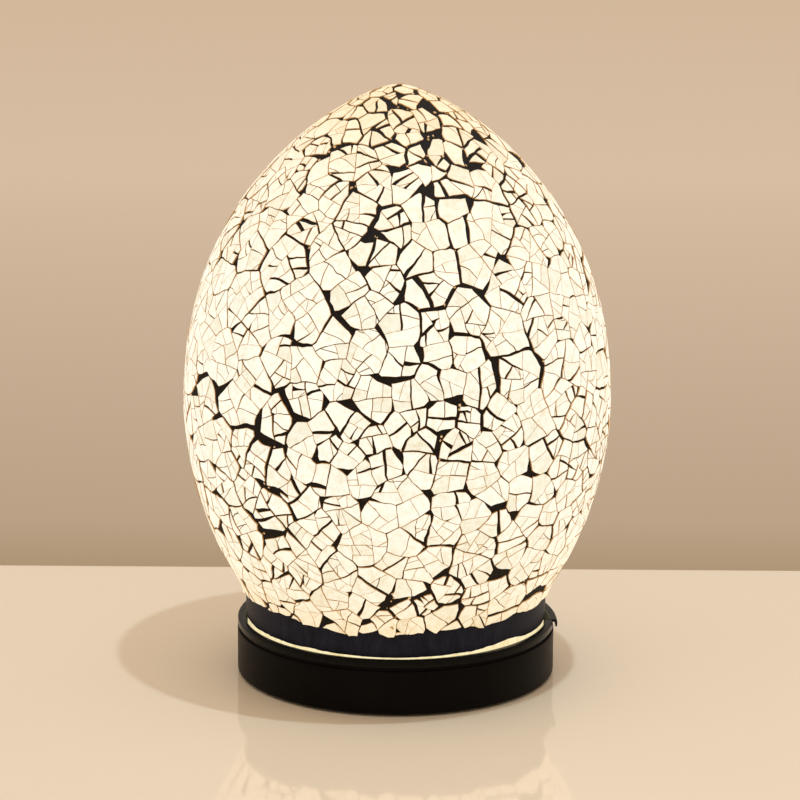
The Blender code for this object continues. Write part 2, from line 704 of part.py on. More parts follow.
def centre_contact(parent):
    """Dished brass disc that the bulb's pip presses on."""
    foot = CORE_TOP + FIT
    outline = [
        (0, foot),
        (CONTACT_RADIUS, foot),
        (CONTACT_RADIUS, foot + CONTACT_THICK / 2),
        (CONTACT_RADIUS / 2, foot + CONTACT_THICK),
        (0, foot + CONTACT_THICK),
    ]
    turned("centre_contact", outline, "brass", parent, SMALL_STEPS)


def bulb_contact(parent):
    stalk = PIP_HEIGHT + FIT + PIP_STALK
    outline = [
        (0, 0),
        (PIP_RADIUS / 2, 0),
        (PIP_RADIUS, PIP_HEIGHT / 2),
        (PIP_RADIUS, PIP_HEIGHT),
        (PIP_BOSS, PIP_HEIGHT),
        (PIP_BOSS, stalk),
        (0, stalk),
    ]
    turned("bulb_contact", outline, "solder", parent, SMALL_STEPS)


def bulb_insulator(parent):
    bore = PIP_BOSS + FIT
    foot = PIP_HEIGHT + FIT
    top = INSULATOR_HEIGHT + INSULATOR_RIM
    outline = [
        (bore, foot),
        (PIP_RADIUS + INSULATOR_TIP, foot),
        (BULB_CAP_RADIUS, INSULATOR_HEIGHT),
        (BULB_NECK, INSULATOR_HEIGHT),
        (BULB_NECK, top),
        (bore, top),
    ]
    turned("bulb_insulator", outline, "black_resin", parent, MID_STEPS)


def bulb_cap(parent):
    bottom = INSULATOR_HEIGHT + FIT
    flare = BULB_CAP_TOP - BULB_CAP_FLARE_HEIGHT
    inner = BULB_CAP_RADIUS - BULB_CAP_WALL
    outline = [
        (inner, bottom),
        (BULB_CAP_RADIUS, bottom),
        (BULB_CAP_RADIUS, flare),
        (BULB_CAP_RADIUS + BULB_CAP_FLARE, BULB_CAP_TOP),
        (inner + BULB_CAP_FLARE, BULB_CAP_TOP),
        (inner, flare),
    ]
    turned("bulb_cap", outline, "bulb_aluminium", parent, MID_STEPS)


def bulb_outline(inset):
    """Pear shape from the neck's lower edge to the top: a soft cone, then a dome."""
    neck = BULB_NECK - inset
    widest = BULB_RADIUS - inset
    middle = BULB_LENGTH - BULB_RADIUS
    points = [(neck, BULB_FOOT)]
    for i in range(BULB_ROWS + 1):
        share = i / BULB_ROWS
        swell = (1 - math.cos(math.pi * share)) / 2
        height = BULB_THROAT + (middle - BULB_THROAT) * share
        points.append((neck + (widest - neck) * swell, height))
    for i in range(1, BULB_ROWS):
        angle = math.pi / 2 * i / BULB_ROWS
        points.append((widest * math.cos(angle), middle + widest * math.sin(angle)))
    return points + [(0, middle + widest)]


def bulb_glass(parent):
    outline = [*bulb_outline(0), *reversed(bulb_outline(BULB_WALL))]
    turned("bulb_glass", outline, "frosted_glass", parent, MID_STEPS)


def bulb_stem(parent):
    """Glass mount: a flare sealed into the bulb's neck, drawn in to a rod."""
    flare = BULB_NECK - BULB_WALL - FIT
    outline = [
        (0, BULB_FOOT),
        (flare, BULB_FOOT),
        (flare, BULB_FOOT + ROD_RADIUS),
        (2 * ROD_RADIUS, (BULB_FOOT + ROD_FOOT) / 2),
        (ROD_RADIUS, ROD_FOOT),
        (ROD_RADIUS, ROD_TOP),
        (0, ROD_TOP),
    ]
    turned("bulb_stem", outline, "clear_glass", parent, SMALL_STEPS)


def lead_wires(parent):
    """Wires that leave the stem's rod and spread to the filament's ends."""
    start = ROD_RADIUS + FIT + LEAD_RADIUS
    bend = (ROD_FOOT + ROD_TOP) / 2
    for i, side in enumerate((1, -1), start=1):
        path = [(start, ROD_FOOT), (start, bend), (LEAD_SPREAD, FILAMENT_Z - bend + ROD_FOOT)]
        path.append((LEAD_SPREAD, FILAMENT_Z))
        points = [(side * x, 0, z) for x, z in path]
        solid(f"lead_wire_{i}", wire(points, LEAD_RADIUS), "tungsten", parent)


def filament(parent):
    """Arch between the tops of the lead wires."""
    foot = FILAMENT_Z + FIT + FILAMENT_RADIUS
    reach = LEAD_SPREAD + LEAD_RADIUS
    shares = np.linspace(-1, 1, FILAMENT_POINTS)
    points = [(reach * s, 0, foot + FILAMENT_SAG * (1 - s * s)) for s in shares]
    solid("filament", wire(points, FILAMENT_RADIUS), "tungsten", parent)


BASE_PIECES = (
    base_cup,
    base_plate,
    plate_screws,
    felt_ring,
    rim_strip,
    cord_grommet,
    seat_gasket,
    threaded_tube,
    tube_fixings,
    holder_cap,
    holder_core,
    terminal_screws,
    holder_shell,
    screw_sleeve,
    centre_contact,
)
SHADE_PIECES = (glass_shell, mosaic_skin, neck_band)
BULB_PIECES = (
    bulb_contact,
    bulb_insulator,
    bulb_cap,
    bulb_glass,
    bulb_stem,
    lead_wires,
    filament,
)


def main():
    for old in list(bpy.data.objects):
        bpy.data.objects.remove(old)
    groups = (
        (carrier("base_axis", 0), BASE_PIECES),
        (carrier("shade_axis", SEAT), SHADE_PIECES),
        (carrier("bulb_axis", BULB_SEAT), BULB_PIECES),
    )
    for parent, pieces in groups:
        for make in pieces:
            make(parent)


if __name__ == "__main__":
    main()
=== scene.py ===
import math

import bmesh
import bpy
import numpy as np
from bpy.props import (
    FloatProperty,
    FloatVectorProperty,
    IntProperty,
    PointerProperty,
)
from mathutils import Matrix, Vector, noise


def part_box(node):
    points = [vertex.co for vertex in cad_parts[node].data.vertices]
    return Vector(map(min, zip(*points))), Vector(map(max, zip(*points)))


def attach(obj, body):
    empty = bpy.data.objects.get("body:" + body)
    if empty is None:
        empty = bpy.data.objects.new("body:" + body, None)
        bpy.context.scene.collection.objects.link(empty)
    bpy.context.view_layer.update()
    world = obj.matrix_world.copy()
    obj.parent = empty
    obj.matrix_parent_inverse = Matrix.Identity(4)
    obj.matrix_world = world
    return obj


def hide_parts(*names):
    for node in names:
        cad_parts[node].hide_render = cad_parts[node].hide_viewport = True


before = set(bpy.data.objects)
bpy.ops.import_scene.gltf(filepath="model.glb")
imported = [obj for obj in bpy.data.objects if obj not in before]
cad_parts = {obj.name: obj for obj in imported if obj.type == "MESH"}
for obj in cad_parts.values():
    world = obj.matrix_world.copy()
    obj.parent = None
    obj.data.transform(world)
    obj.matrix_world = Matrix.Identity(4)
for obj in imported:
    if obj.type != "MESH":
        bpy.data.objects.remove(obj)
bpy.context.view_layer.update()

bl_info = {
    "name": "Mosaic egg lamp",
    "version": (1, 0, 0),
    "blender": (4, 5, 0),
    "location": "View3D > Sidebar > Lamp",
    "description": "Dresses the egg lamp: cracked glass chips, neck band, base, lampholder, bulb and stage",
    "category": "Object",
}



def heights(node):
    """Lowest and highest point of a solid."""
    return [corner.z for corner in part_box(node)]


# Shape of the egg, as the solids have it
EGG_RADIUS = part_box("mosaic_skin")[1].x
EGG_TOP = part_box("mosaic_skin")[1].z
EGG_RISE = 0.1604  # from the widest part to the tip
EGG_DROP = 0.1339  # from the widest part to where the curve would close below
TIP_POWER, TIP_ROUNDNESS = 2.25, 1.42
FOOT_POWER, FOOT_ROUNDNESS = 1.77, 2.20
WAIST = EGG_TOP - EGG_RISE  # height of the widest part
SKIN = 0.0022  # chips and grout together
GLASS_INSET = 0.0025  # outer face of the glass, inside the chips' faces
GLASS_WALL = 0.0030
GOLDEN_ANGLE = math.pi * (3 - math.sqrt(5))
WELD = 1e-7  # points closer than this are one

# How the chips are laid out and broken
FACE_AREA = 0.165  # of the egg
TRIES = 12  # places tried for each sheet
SMALL_SHEETS, SMALL_SIZE = 0.30, 0.45  # share of small sheets, and their size to the others'
SHUT_SHARE = 0.40  # share of the gaps that stay shut
KEPT_CORNERS = 0.5  # share of the sheets' corners that don't break off
AREA_SPREAD = (-1.4, 1.1)  # least and most that a chip's area is doubled
CUTS = 4  # lines tried for each break
SHORTEST_SIDE = 0.0009  # sides of a sheet shorter than this get no gap
SHORTEST_SNAP = 0.0015  # of a crack across a corner
CLOSEST_POINTS = 0.0003
OUTLINE_STEP = 0.0024  # between points along a chip's side
SMALLEST_CHIP = 1.6e-6
CHIP_REST = 0.00008  # least that a chip's face lies under the egg's
GROUT_REST = 0.00006  # grout's face over the chips' undersides
BEND, FINE_BEND = 75, 210  # waves per metre of the noise that bends cracks and gaps
CRUMB_STRAY, CRUMB_LEAST, CRUMB_MOST = 0.0011, 0.0003, 0.0008
GROUT_EDGE = 0.0016  # grout's lower edge over the chips'
LAP_HEIGHT = 0.0135  # lower edge of the chips, over the band's
LAP_SHAKE = 0.0009  # how far single chips end above or below that edge
OPEN_SPOTS = (  # where wide gaps gather or keep away: angle from the front, height, reach, amount
    (0.32, 0.262, 0.022, 0.54),
    (0.90, 0.272, 0.020, 0.46),
    (-0.20, 0.276, 0.024, 0.40),
    (-0.37, 0.210, 0.020, 0.10),
    (-0.62, 0.236, 0.012, 0.35),
    (0.22, 0.205, 0.018, 0.16),
    (-0.35, 0.142, 0.030, 0.14),
    (0.26, 0.150, 0.020, 0.14),
    (-0.66, 0.085, 0.018, 0.40),
    (-0.58, 0.118, 0.022, 0.40),
    (0.25, 0.085, 0.016, 0.14),
    (0.80, 0.150, 0.020, 0.20),
    (-0.88, 0.210, 0.032, -0.36),
    (-0.05, 0.200, 0.020, -0.08),
    (-0.08, 0.105, 0.026, -0.34),
    (1.00, 0.105, 0.024, -0.06),
)

# Neck, read from the solids
NECK_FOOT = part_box("glass_shell")[0].z
NECK_RADIUS = 0.0744
BAND_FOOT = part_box("neck_band")[0].z
BAND_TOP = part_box("neck_band")[1].z
BAND_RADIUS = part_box("neck_band")[1].x
LAP_RADIUS = BAND_RADIUS + 0.0014  # face of the chips that reach over the band
LAP_BLEND = 0.0020  # how softly the egg runs into that
LAP_LOWEST = BAND_FOOT + 0.0020  # chips are tried down to here

# Base, lampholder and bulb, as the solids have them
FIT = 0.0003
CUP_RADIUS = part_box("base_cup")[1].x
CUP_INNER = 0.0770
LIP_OUTER = 0.0782
CUP_FOOT, CUP_TOP = heights("base_cup")
DECK_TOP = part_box("seat_gasket")[0].z - FIT
DECK_FOOT = DECK_TOP - 0.0020
STRIP_FOOT, STRIP_TOP = heights("rim_strip")
SHOULDER = STRIP_FOOT - 0.0018
PLATE_FOOT, PLATE_TOP = heights("base_plate")
GROMMET_HEIGHT = (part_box("cord_grommet")[0].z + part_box("cord_grommet")[1].z) / 2
SCREW_CIRCLE = 0.0460
SCREW_HOLE, SCREW_SINK = 0.0018, 0.0031  # radii of the hole and of its countersink
BOSS_RADIUS, BOSS_DEPTH = 0.0040, 0.0093
CORD_HOLE = 0.0045
STRIP_REACH, STRIP_ROOF = 0.0036, 0.0012  # how far the strip reaches in over the lip, and how thick
FELT_INNER, FELT_OUTER, FELT_THICK = CUP_RADIUS - 0.0220, CUP_RADIUS - 0.0060, 0.0012
GASKET_WIDTH = 0.0080
TUBE_RADIUS, TUBE_BORE, TUBE_HOLE = 0.0050, 0.0036, 0.0053
TUBE_PITCH, TUBE_THREAD = 0.0010, 0.0005
SLEEVE_OUTER, SLEEVE_INNER, SLEEVE_HOLE = 0.0142, 0.0136, 0.0090
HOLDER_RADIUS = 0.0195
HOLDER_INNER = 0.0180
LEDGE_INNER = 0.0150
BULB_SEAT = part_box("bulb_contact")[0].z
BULB_RADIUS, BULB_WALL = 0.0300, 0.0010
BULB_CAP_RADIUS, CAP_WALL = 0.0131, 0.0005
CAP_FLARE, CAP_FLARE_HEIGHT = 0.0008, 0.0035
THREAD_PITCH = 0.0036
THREAD_ROW, FINE_ROW = 0.0003, 0.00012  # between rows of points on a threaded wall
SMOOTH_ANGLE = math.radians(32)
AROUND = 160  # steps round the large turned pieces
AROUND_SMALL = 64


# ---------------------------------------------------------------- settings


def size(name, description, default, **more):
    return FloatProperty(
        name=name, description=description, default=default, subtype="DISTANCE", unit="LENGTH", **more
    )


def amount(name, description, default):
    return FloatProperty(name=name, description=description, default=default, min=0)


def share(name, description, default, **more):
    return FloatProperty(
        name=name, description=description, default=default, subtype="FACTOR", min=0, max=1, **more
    )


def colour(name, description, default):
    return FloatVectorProperty(
        name=name, description=description, default=default, subtype="COLOR", size=3, min=0, max=1
    )


class MosaicSettings(bpy.types.PropertyGroup):
    """Sizes and colours of the chips and the grout between them"""

    seed: IntProperty(name="Seed", description="Changes the whole crack pattern", default=4, min=0)
    sheet_size: size("Sheet size", "Usual distance between the middles of two sheets of glass", 0.0180)
    chip_area: FloatProperty(
        name="Chip area", description="Sheets larger than this crack into chips", default=7.2e-5, unit="AREA"
    )
    chip_thick: size("Chip thickness", "Height of a chip's face over its underside", 0.0007)
    chip_bevel: size("Chip bevel", "Width of the worn edge round a chip's face", 0.00010)
    chip_tilt: share("Chip tilt", "Steepest slope of a sheet against the egg", 0.02)
    stray: size("Stray", "How far smooth noise bends the cracks and gaps", 0.0020)
    snapped: share("Snapped corners", "Share of the chips that lose a corner to a crack", 0.20)
    crack: size("Crack width", "Crack between chips of one sheet", 0.00012)
    seam: size("Seam width", "Narrowest gap between two sheets", 0.00014)
    gape: size("Gape", "Widest opening of a crack inside a sheet", 0.0028)
    gap: size("Gap width", "Widest usual gap between two sheets", 0.0030)
    corner: size("Corner loss", "Most that breaks off where sheets meet", 0.0046)
    glow: amount("Glow", "Light that a chip gives off", 0.90)
    cream: colour("Chip colour", "Lit glass over most of the egg", (1.0, 0.985, 0.85))
    # Painted shade in the glow: the dimmer, warmer light of the chips at the tip and just above the neck
    dim_glow: colour("Warm chip colour", "Lit glass at the tip and above the neck", (0.96, 0.77, 0.48))
    amber: colour("Crack colour", "Light in the cracks", (0.42, 0.21, 0.06))
    grout: colour("Grout colour", "Grout in the wide gaps", (0.010, 0.007, 0.006))


class NeckSettings(bpy.types.PropertyGroup):
    """Glass neck and the band painted on it"""

    ragged: size("Ragged edge", "How far the band's lower edge wanders", 0.0011)
    band: colour("Band colour", "Paint of the band", (0.0085, 0.0098, 0.0200))
    streak: colour("Streak colour", "Worn streaks in that paint", (0.027, 0.030, 0.054))
    glow: amount("Glow", "Light of the bare glass", 1.0)
    lit: colour("Glass colour", "Bare lit glass under the band", (1.0, 0.86, 0.52))


class BaseSettings(bpy.types.PropertyGroup):
    """Cup, edging strip and what closes the base from below"""

    edge: size("Cup edge", "Radius on the cup's outer edges", 0.0011)
    paint: colour("Paint colour", "Satin paint of the cup", (0.0026, 0.0021, 0.0018))
    strip: colour("Strip colour", "Rubber of the edging strip", (0.0040, 0.0034, 0.0030))
    felt: colour("Felt colour", "Felt under the base", (0.022, 0.021, 0.022))
    steel: colour("Steel colour", "Zinc-plated steel", (0.52, 0.52, 0.50))
    flare: size("Strip flare", "How far the strip's free end stands off", 0.0021)


class HolderSettings(bpy.types.PropertyGroup):
    """Lampholder on its stem"""

    flutes: IntProperty(name="Flutes", description="Grip flutes round the lampholder", default=36, min=3)
    flute_depth: size("Flute depth", "Depth of a grip flute", 0.0004)
    resin: colour("Resin colour", "Moulded resin", (0.016, 0.013, 0.012))
    brass: colour("Brass colour", "Sleeve, contacts and screws", (0.62, 0.42, 0.16))
    ceramic: colour("Ceramic colour", "Core of the lampholder", (0.80, 0.78, 0.72))


class BulbSettings(bpy.types.PropertyGroup):
    """Screw-cap bulb"""

    thread: size("Thread depth", "Depth of the thread on the cap", 0.0007)
    glow: amount("Glow", "Light of the frosted glass", 0.8)
    lit: colour("Glass colour", "Lit frosted glass", (1.0, 0.88, 0.66))
    aluminium: colour("Cap colour", "Aluminium of the cap", (0.66, 0.66, 0.65))


class StageSettings(bpy.types.PropertyGroup):
    """Floor, light and camera"""

    floor: colour("Floor colour", "Pale floor the lamp stands on", (0.905, 0.775, 0.612))
    backdrop: colour("Backdrop colour", "Floor further back", (0.768, 0.657, 0.540))
    floor_end: size("Floor end", "How far behind the lamp the backdrop starts", 0.178)
    key: amount("Key light", "Power of the light above, in watts", 48.0)
    key_place: FloatVectorProperty(
        name="Key place", description="Where that light hangs", default=(0.33, -0.34, 2.1), subtype="XYZ"
    )
    key_size: size("Key size", "Radius of that light", 0.03)
    key_shade: colour("Key colour", "Colour of that light", (0.70, 0.86, 1.0))
    overhead: amount("Overhead", "Strength of the soft light straight above", 1.06)
    level: amount("Level", "Strength of the soft light at eye level", 0.30)
    soft_shade: colour("Soft colour", "Colour of the soft light", (1.0, 0.845, 0.690))
    distance: size("Camera distance", "From the point the camera aims at", 1.9)
    pitch: FloatProperty(
        name="Pitch", description="How far the camera looks down", default=math.radians(13.8), subtype="ANGLE"
    )
    roll: FloatProperty(name="Roll", description="Tilt of the camera", default=math.radians(0.4), subtype="ANGLE")
    aim: FloatVectorProperty(
        name="Aim", description="Middle of the picture", default=(0.0014, 0, 0.139), subtype="XYZ"
    )
    lens: amount("Lens", "Focal length in millimetres", 172.3)


SETTINGS = {
    "egg_mosaic": MosaicSettings,
    "egg_neck": NeckSettings,
    "egg_base": BaseSettings,
    "egg_holder": HolderSettings,
    "egg_bulb": BulbSettings,
    "egg_stage": StageSettings,
}


# ------------------------------------------------------- nodes and finishes


def add(tree, kind, links=None, **settings):
    """Node in a tree; links gives a socket or a value for each of its inputs, by name or number."""
    made = tree.nodes.new(kind)
    for name, value in settings.items():
        setattr(made, name, value)
    for name, value in (links or {}).items():
        if isinstance(value, bpy.types.NodeSocket):
            tree.links.new(value, made.inputs[name])
        else:
            made.inputs[name].default_value = value
    return made


def finish(name, **plain):
    """Material, its tree and its shader; plain values go on the shader's own sockets."""
    made = bpy.data.materials.new(name)
    made.use_nodes = True
    shader = made.node_tree.nodes["Principled BSDF"]
    for label, value in plain.items():
        socket = shader.inputs[label.replace("_", " ").title().replace("Ior", "IOR")]
        socket.default_value = (*value, 1) if socket.type == "RGBA" else value
    return made, made.node_tree, shader


def feed(shader, label, source):
    """Links a node's output to one of a shader's inputs."""
    shader.id_data.links.new(source, shader.inputs[label])


def object_place(tree, stretch=(1, 1, 1)):
    """Object coordinates, stretched."""
    place = add(tree, "ShaderNodeTexCoord").outputs["Object"]
    if stretch == (1, 1, 1):
        return place
    return add(tree, "ShaderNodeMapping", {"Vector": place, "Scale": stretch}).outputs["Vector"]


def mottle(tree, scale, stretch=(1, 1, 1), detail=4.0, roughness=0.55):
    """Noise from 0 to 1 over the piece."""
    links = {"Vector": object_place(tree, stretch), "Scale": scale, "Detail": detail, "Roughness": roughness}
    return add(tree, "ShaderNodeTexNoise", links).outputs["Fac"]


def ramp(tree, factor, *stops):
    """Colours or greys by factor, from (place, colour) stops."""
    made = add(tree, "ShaderNodeValToRGB", {"Fac": factor})
    elements = made.color_ramp.elements
    while len(elements) < len(stops):
        elements.new(0.5)
    for element, (place, shade) in zip(elements, stops):
        element.position = place
        element.color = (*shade, 1) if isinstance(shade, tuple) else (shade, shade, shade, 1)
    return made.outputs["Color"]


def blended(tree, kind, factor, first, second):
    """Two colours put together by a blend kind."""
    links = {0: factor, 6: first, 7: second}
    return add(tree, "ShaderNodeMix", links, data_type="RGBA", blend_type=kind).outputs[2]


def spread(tree, factor, low, high):
    """Factor from 0 to 1 moved to a range."""
    return add(tree, "ShaderNodeMapRange", {"Value": factor, "To Min": low, "To Max": high}).outputs["Result"]


def relief(tree, shader, height, distance, strength=1.0):
    """Bump on a shader."""
    links = {"Height": height, "Distance": distance, "Strength": strength}
    bump = add(tree, "ShaderNodeBump", links)
    feed(shader, "Normal", bump.outputs["Normal"])


def scaled(shade, by):
    return tuple(by * part for part in shade)


def rising(tree, low, high, axis="Z"):
    """From 0 to 1 between two places along an axis of the piece."""
    along = add(tree, "ShaderNodeSeparateXYZ", {0: object_place(tree)}).outputs[axis]
    links = {"Value": along, "From Min": low, "From Max": high}
    return add(tree, "ShaderNodeMapRange", links).outputs["Result"]


def chip_face_finish(look):
    made, tree, shader = finish("lit_chip_face", emission_strength=look.glow, ior=1.5, specular_ior_level=0.12)
    white = (1.0, 1.0, 1.0)
    place = object_place(tree)
    cream, dim_glow = tuple(look.cream), tuple(look.dim_glow)
    between = tuple(0.67 * a + 0.33 * b for a, b in zip(cream, dim_glow))
    # Painted shade in the glow: the chips are lit dimmer and warmer at the tip and just above the neck, where
    # less of the bulb's light reaches them
    lit = ramp(
        tree, rising(tree, BAND_FOOT, EGG_TOP), (0.02, dim_glow), (0.12, between), (0.30, cream),
        (0.68, cream), (0.86, between), (0.97, dim_glow),
    )
    tint = add(tree, "ShaderNodeAttribute", attribute_name="tint").outputs["Fac"]
    crumb = scaled(look.amber, 1.4)
    chip = ramp(
        tree, tint, (0.0, crumb), (0.06, (0.95, 0.92, 0.86)), (0.22, (0.985, 0.975, 0.95)), (0.5, white)
    )
    lit = blended(tree, "MULTIPLY", 1.0, lit, chip)
    cloud = ramp(tree, mottle(tree, 320, detail=3), (0.30, (0.90, 0.86, 0.78)), (0.58, white))
    lit = blended(tree, "MULTIPLY", 1.0, lit, cloud)
    bend = add(tree, "ShaderNodeTexNoise", {"Vector": place, "Scale": 850.0}).outputs["Color"]
    wavy = blended(tree, "LINEAR_LIGHT", 0.004, place, bend)
    cells = add(tree, "ShaderNodeTexVoronoi", {"Vector": wavy, "Scale": 150.0}, feature="DISTANCE_TO_EDGE")
    line = ramp(tree, cells.outputs["Distance"], (0.0, (0.78, 0.60, 0.36)), (0.045, white))
    some = ramp(tree, mottle(tree, 70, detail=2), (0.50, 0.0), (0.60, 0.75))
    lit = blended(tree, "MULTIPLY", some, lit, line)
    feed(shader, "Emission Color", lit)
    body = ramp(tree, tint, (0.0, scaled(cream, 0.20)), (1.0, scaled(cream, 0.28)))
    feed(shader, "Base Color", body)
    feed(shader, "Roughness", spread(tree, mottle(tree, 500), 0.24, 0.42))
    relief(tree, shader, mottle(tree, 210, detail=2), 0.00025, 0.5)
    return made


def chip_edge_finish(look):
    made, tree, shader = finish("lit_chip_edge", emission_strength=look.glow, ior=1.5)
    amber = tuple(look.amber)
    pale = tuple(0.45 * a + 0.55 * b for a, b in zip(look.cream, amber))
    glow = ramp(tree, mottle(tree, 260), (0.25, scaled(amber, 0.5)), (0.55, amber), (0.8, pale))
    feed(shader, "Emission Color", glow)
    feed(shader, "Base Color", ramp(tree, mottle(tree, 400), (0, scaled(amber, 0.3)), (1, amber)))
    feed(shader, "Roughness", spread(tree, mottle(tree, 700), 0.2, 0.45))
    return made


def grout_finish(look):
    made, tree, shader = finish("black_grout", specular_ior_level=0.25)
    dark = tuple(look.grout)
    brown = tuple(0.9 * a + 0.13 * b for a, b in zip(dark, look.amber))
    grain = mottle(tree, 620, detail=6, roughness=0.7)
    feed(shader, "Base Color", ramp(tree, grain, (0.0, scaled(dark, 0.6)), (0.55, dark), (0.80, brown)))
    feed(shader, "Roughness", spread(tree, mottle(tree, 900), 0.55, 0.95))
    relief(tree, shader, mottle(tree, 1500, detail=5), 0.0002, 0.6)
    return made


def band_finish(look):
    made, tree, shader = finish("navy_black_paint", ior=1.48, specular_ior_level=0.12)
    cloud = mottle(tree, 150, (1, 1, 0.5), detail=6, roughness=0.7)
    fine = mottle(tree, 1500, (1, 1, 0.12), detail=3)
    paint = ramp(tree, cloud, (0.36, tuple(look.band)), (0.66, tuple(look.streak)))
    worn = ramp(tree, fine, (0.35, scaled(look.band, 0.6)), (0.75, tuple(look.streak)))
    feed(shader, "Base Color", blended(tree, "MIX", 0.30, paint, worn))
    feed(shader, "Roughness", spread(tree, cloud, 0.34, 0.60))
    relief(tree, shader, fine, 0.00010, 0.5)
    return made


def lit_glass_finish(look):
    made, tree, shader = finish(
        "lit_neck_glass", emission_strength=look.glow, ior=1.5, coat_weight=0.4, coat_roughness=0.05
    )
    up = rising(tree, STRIP_TOP, EGG_TOP)
    lit = tuple(look.lit)
    pale = tuple(0.5 + 0.5 * part for part in lit)
    fade = ramp(tree, up, (0.0, lit), (0.03, pale), (0.4, pale), (1.0, lit))
    seeds = ramp(tree, mottle(tree, 240, (1, 1, 0.3)), (0.28, (0.82, 0.76, 0.62)), (0.55, (1.0, 1.0, 1.0)))
    feed(shader, "Emission Color", blended(tree, "MULTIPLY", 1.0, fade, seeds))
    feed(shader, "Base Color", ramp(tree, mottle(tree, 90), (0, scaled(lit, 0.2)), (1, scaled(lit, 0.3))))
    feed(shader, "Roughness", spread(tree, mottle(tree, 300), 0.05, 0.18))
    return made


def satin_paint_finish(name, shade):
    made, tree, shader = finish(name, ior=1.5, specular_ior_level=0.06)
    shade = tuple(shade)
    soft = mottle(tree, 55, detail=5)
    tone = ramp(tree, soft, (0.3, shade), (0.7, scaled(shade, 1.8)))
    dust = ramp(tree, mottle(tree, 1900, detail=2, roughness=0.4), (0.70, 0.0), (0.80, 0.10))
    feed(shader, "Base Color", blended(tree, "MIX", dust, tone, (0.20, 0.18, 0.16, 1)))
    feed(shader, "Roughness", spread(tree, mottle(tree, 30, detail=6), 0.34, 0.50))
    relief(tree, shader, mottle(tree, 1300, detail=2), 0.00008, 0.5)
    return made


def rubber_finish(look):
    made, tree, shader = finish("edging_rubber", ior=1.5, specular_ior_level=0.09)
    shade = tuple(look.strip)
    tone = ramp(tree, mottle(tree, 240, detail=5), (0.3, scaled(shade, 0.6)), (0.7, scaled(shade, 1.5)))
    bloom = ramp(tree, mottle(tree, 45, (1, 1, 3)), (0.55, 0.0), (0.80, 0.35))
    feed(shader, "Base Color", blended(tree, "MIX", bloom, tone, (*scaled(shade, 3.0), 1)))
    feed(shader, "Roughness", spread(tree, mottle(tree, 180), 0.14, 0.26))
    relief(tree, shader, mottle(tree, 900, (1, 1, 4)), 0.0001, 0.5)
    return made


def felt_finish(look):
    made, tree, shader = finish("base_felt", roughness=0.95, sheen_weight=0.5, sheen_roughness=0.5)
    shade = tuple(look.felt)
    fibre = mottle(tree, 2600, (1, 1, 2), detail=6, roughness=0.75)
    feed(shader, "Base Color", ramp(tree, fibre, (0.3, scaled(shade, 0.5)), (0.7, scaled(shade, 2.2))))
    relief(tree, shader, fibre, 0.0004, 1.0)
    return made


def metal_finish(name, shade, rough, grain=(1, 1, 12), tarnish=0.7):
    """Plated or bare metal with drawn lines and a little tarnish."""
    made, tree, shader = finish(name, metallic=1.0)
    shade = tuple(shade)
    cloud = ramp(tree, mottle(tree, 140, detail=6), (0.32, scaled(shade, tarnish)), (0.62, shade))
    lines = mottle(tree, 500, grain, detail=5)
    fleck = ramp(tree, lines, (0.35, (0.86, 0.86, 0.86)), (0.65, (1.0, 1.0, 1.0)))
    feed(shader, "Base Color", blended(tree, "MULTIPLY", 1.0, cloud, fleck))
    feed(shader, "Roughness", spread(tree, lines, rough - 0.08, rough + 0.14))
    relief(tree, shader, lines, 0.00006, 0.5)
    return made


def resin_finish(look):
    made, tree, shader = finish("moulded_resin", ior=1.55, coat_weight=0.2, coat_roughness=0.15)
    shade = tuple(look.resin)
    swirl = mottle(tree, 120, (1, 1, 0.5), detail=5)
    feed(shader, "Base Color", ramp(tree, swirl, (0.3, scaled(shade, 0.6)), (0.7, scaled(shade, 1.9))))
    feed(shader, "Roughness", spread(tree, mottle(tree, 420), 0.22, 0.40))
    relief(tree, shader, mottle(tree, 1500, detail=2), 0.00005, 0.5)
    return made


def ceramic_finish(look):
    made, tree, shader = finish("glazed_ceramic", ior=1.52, coat_weight=0.4, coat_roughness=0.1)
    shade = tuple(look.ceramic)
    speck = ramp(tree, mottle(tree, 900, detail=3), (0.26, scaled(shade, 0.62)), (0.40, shade))
    feed(shader, "Base Color", speck)
    feed(shader, "Roughness", spread(tree, mottle(tree, 260), 0.25, 0.45))
    relief(tree, shader, mottle(tree, 600), 0.0001, 0.5)
    return made


def frosted_finish(look):
    made, tree, shader = finish("frosted_bulb_glass", emission_strength=look.glow, ior=1.5, coat_weight=0.2)
    up = rising(tree, *heights("bulb_glass"))
    lit = tuple(look.lit)
    glow = ramp(tree, up, (0.08, scaled(lit, 0.35)), (0.35, lit), (0.62, (1.0, 0.97, 0.90)), (1.0, lit))
    etch = ramp(tree, mottle(tree, 1100, detail=3), (0.3, (0.92, 0.92, 0.92)), (0.6, (1.0, 1.0, 1.0)))
    feed(shader, "Emission Color", blended(tree, "MULTIPLY", 1.0, glow, etch))
    feed(shader, "Base Color", ramp(tree, etch, (0, scaled(lit, 0.25)), (1, scaled(lit, 0.3))))
    feed(shader, "Roughness", spread(tree, mottle(tree, 700), 0.42, 0.6))
    return made


def clear_glass_finish():
    made, tree, shader = finish("clear_mount_glass", transmission_weight=0.9, ior=1.5)
    tint = ramp(tree, mottle(tree, 150), (0.3, (0.86, 0.90, 0.88)), (0.7, (0.97, 0.98, 0.97)))
    feed(shader, "Base Color", tint)
    feed(shader, "Roughness", spread(tree, mottle(tree, 300), 0.02, 0.08))
    return made


# ----------------------------------------------------------------- shaping


def piece(name, shape, finishes, body, nodes):
    """Finished piece: its mesh, materials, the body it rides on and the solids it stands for.

    With no materials given, it keeps those that its tree set.
    """
    made = bpy.data.objects.new(name, shape)
    bpy.context.scene.collection.objects.link(made)
    if finishes:
        shape.materials.clear()
    for each in finishes:
        shape.materials.append(each)
    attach(made, body)
    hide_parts(*nodes)
    return made


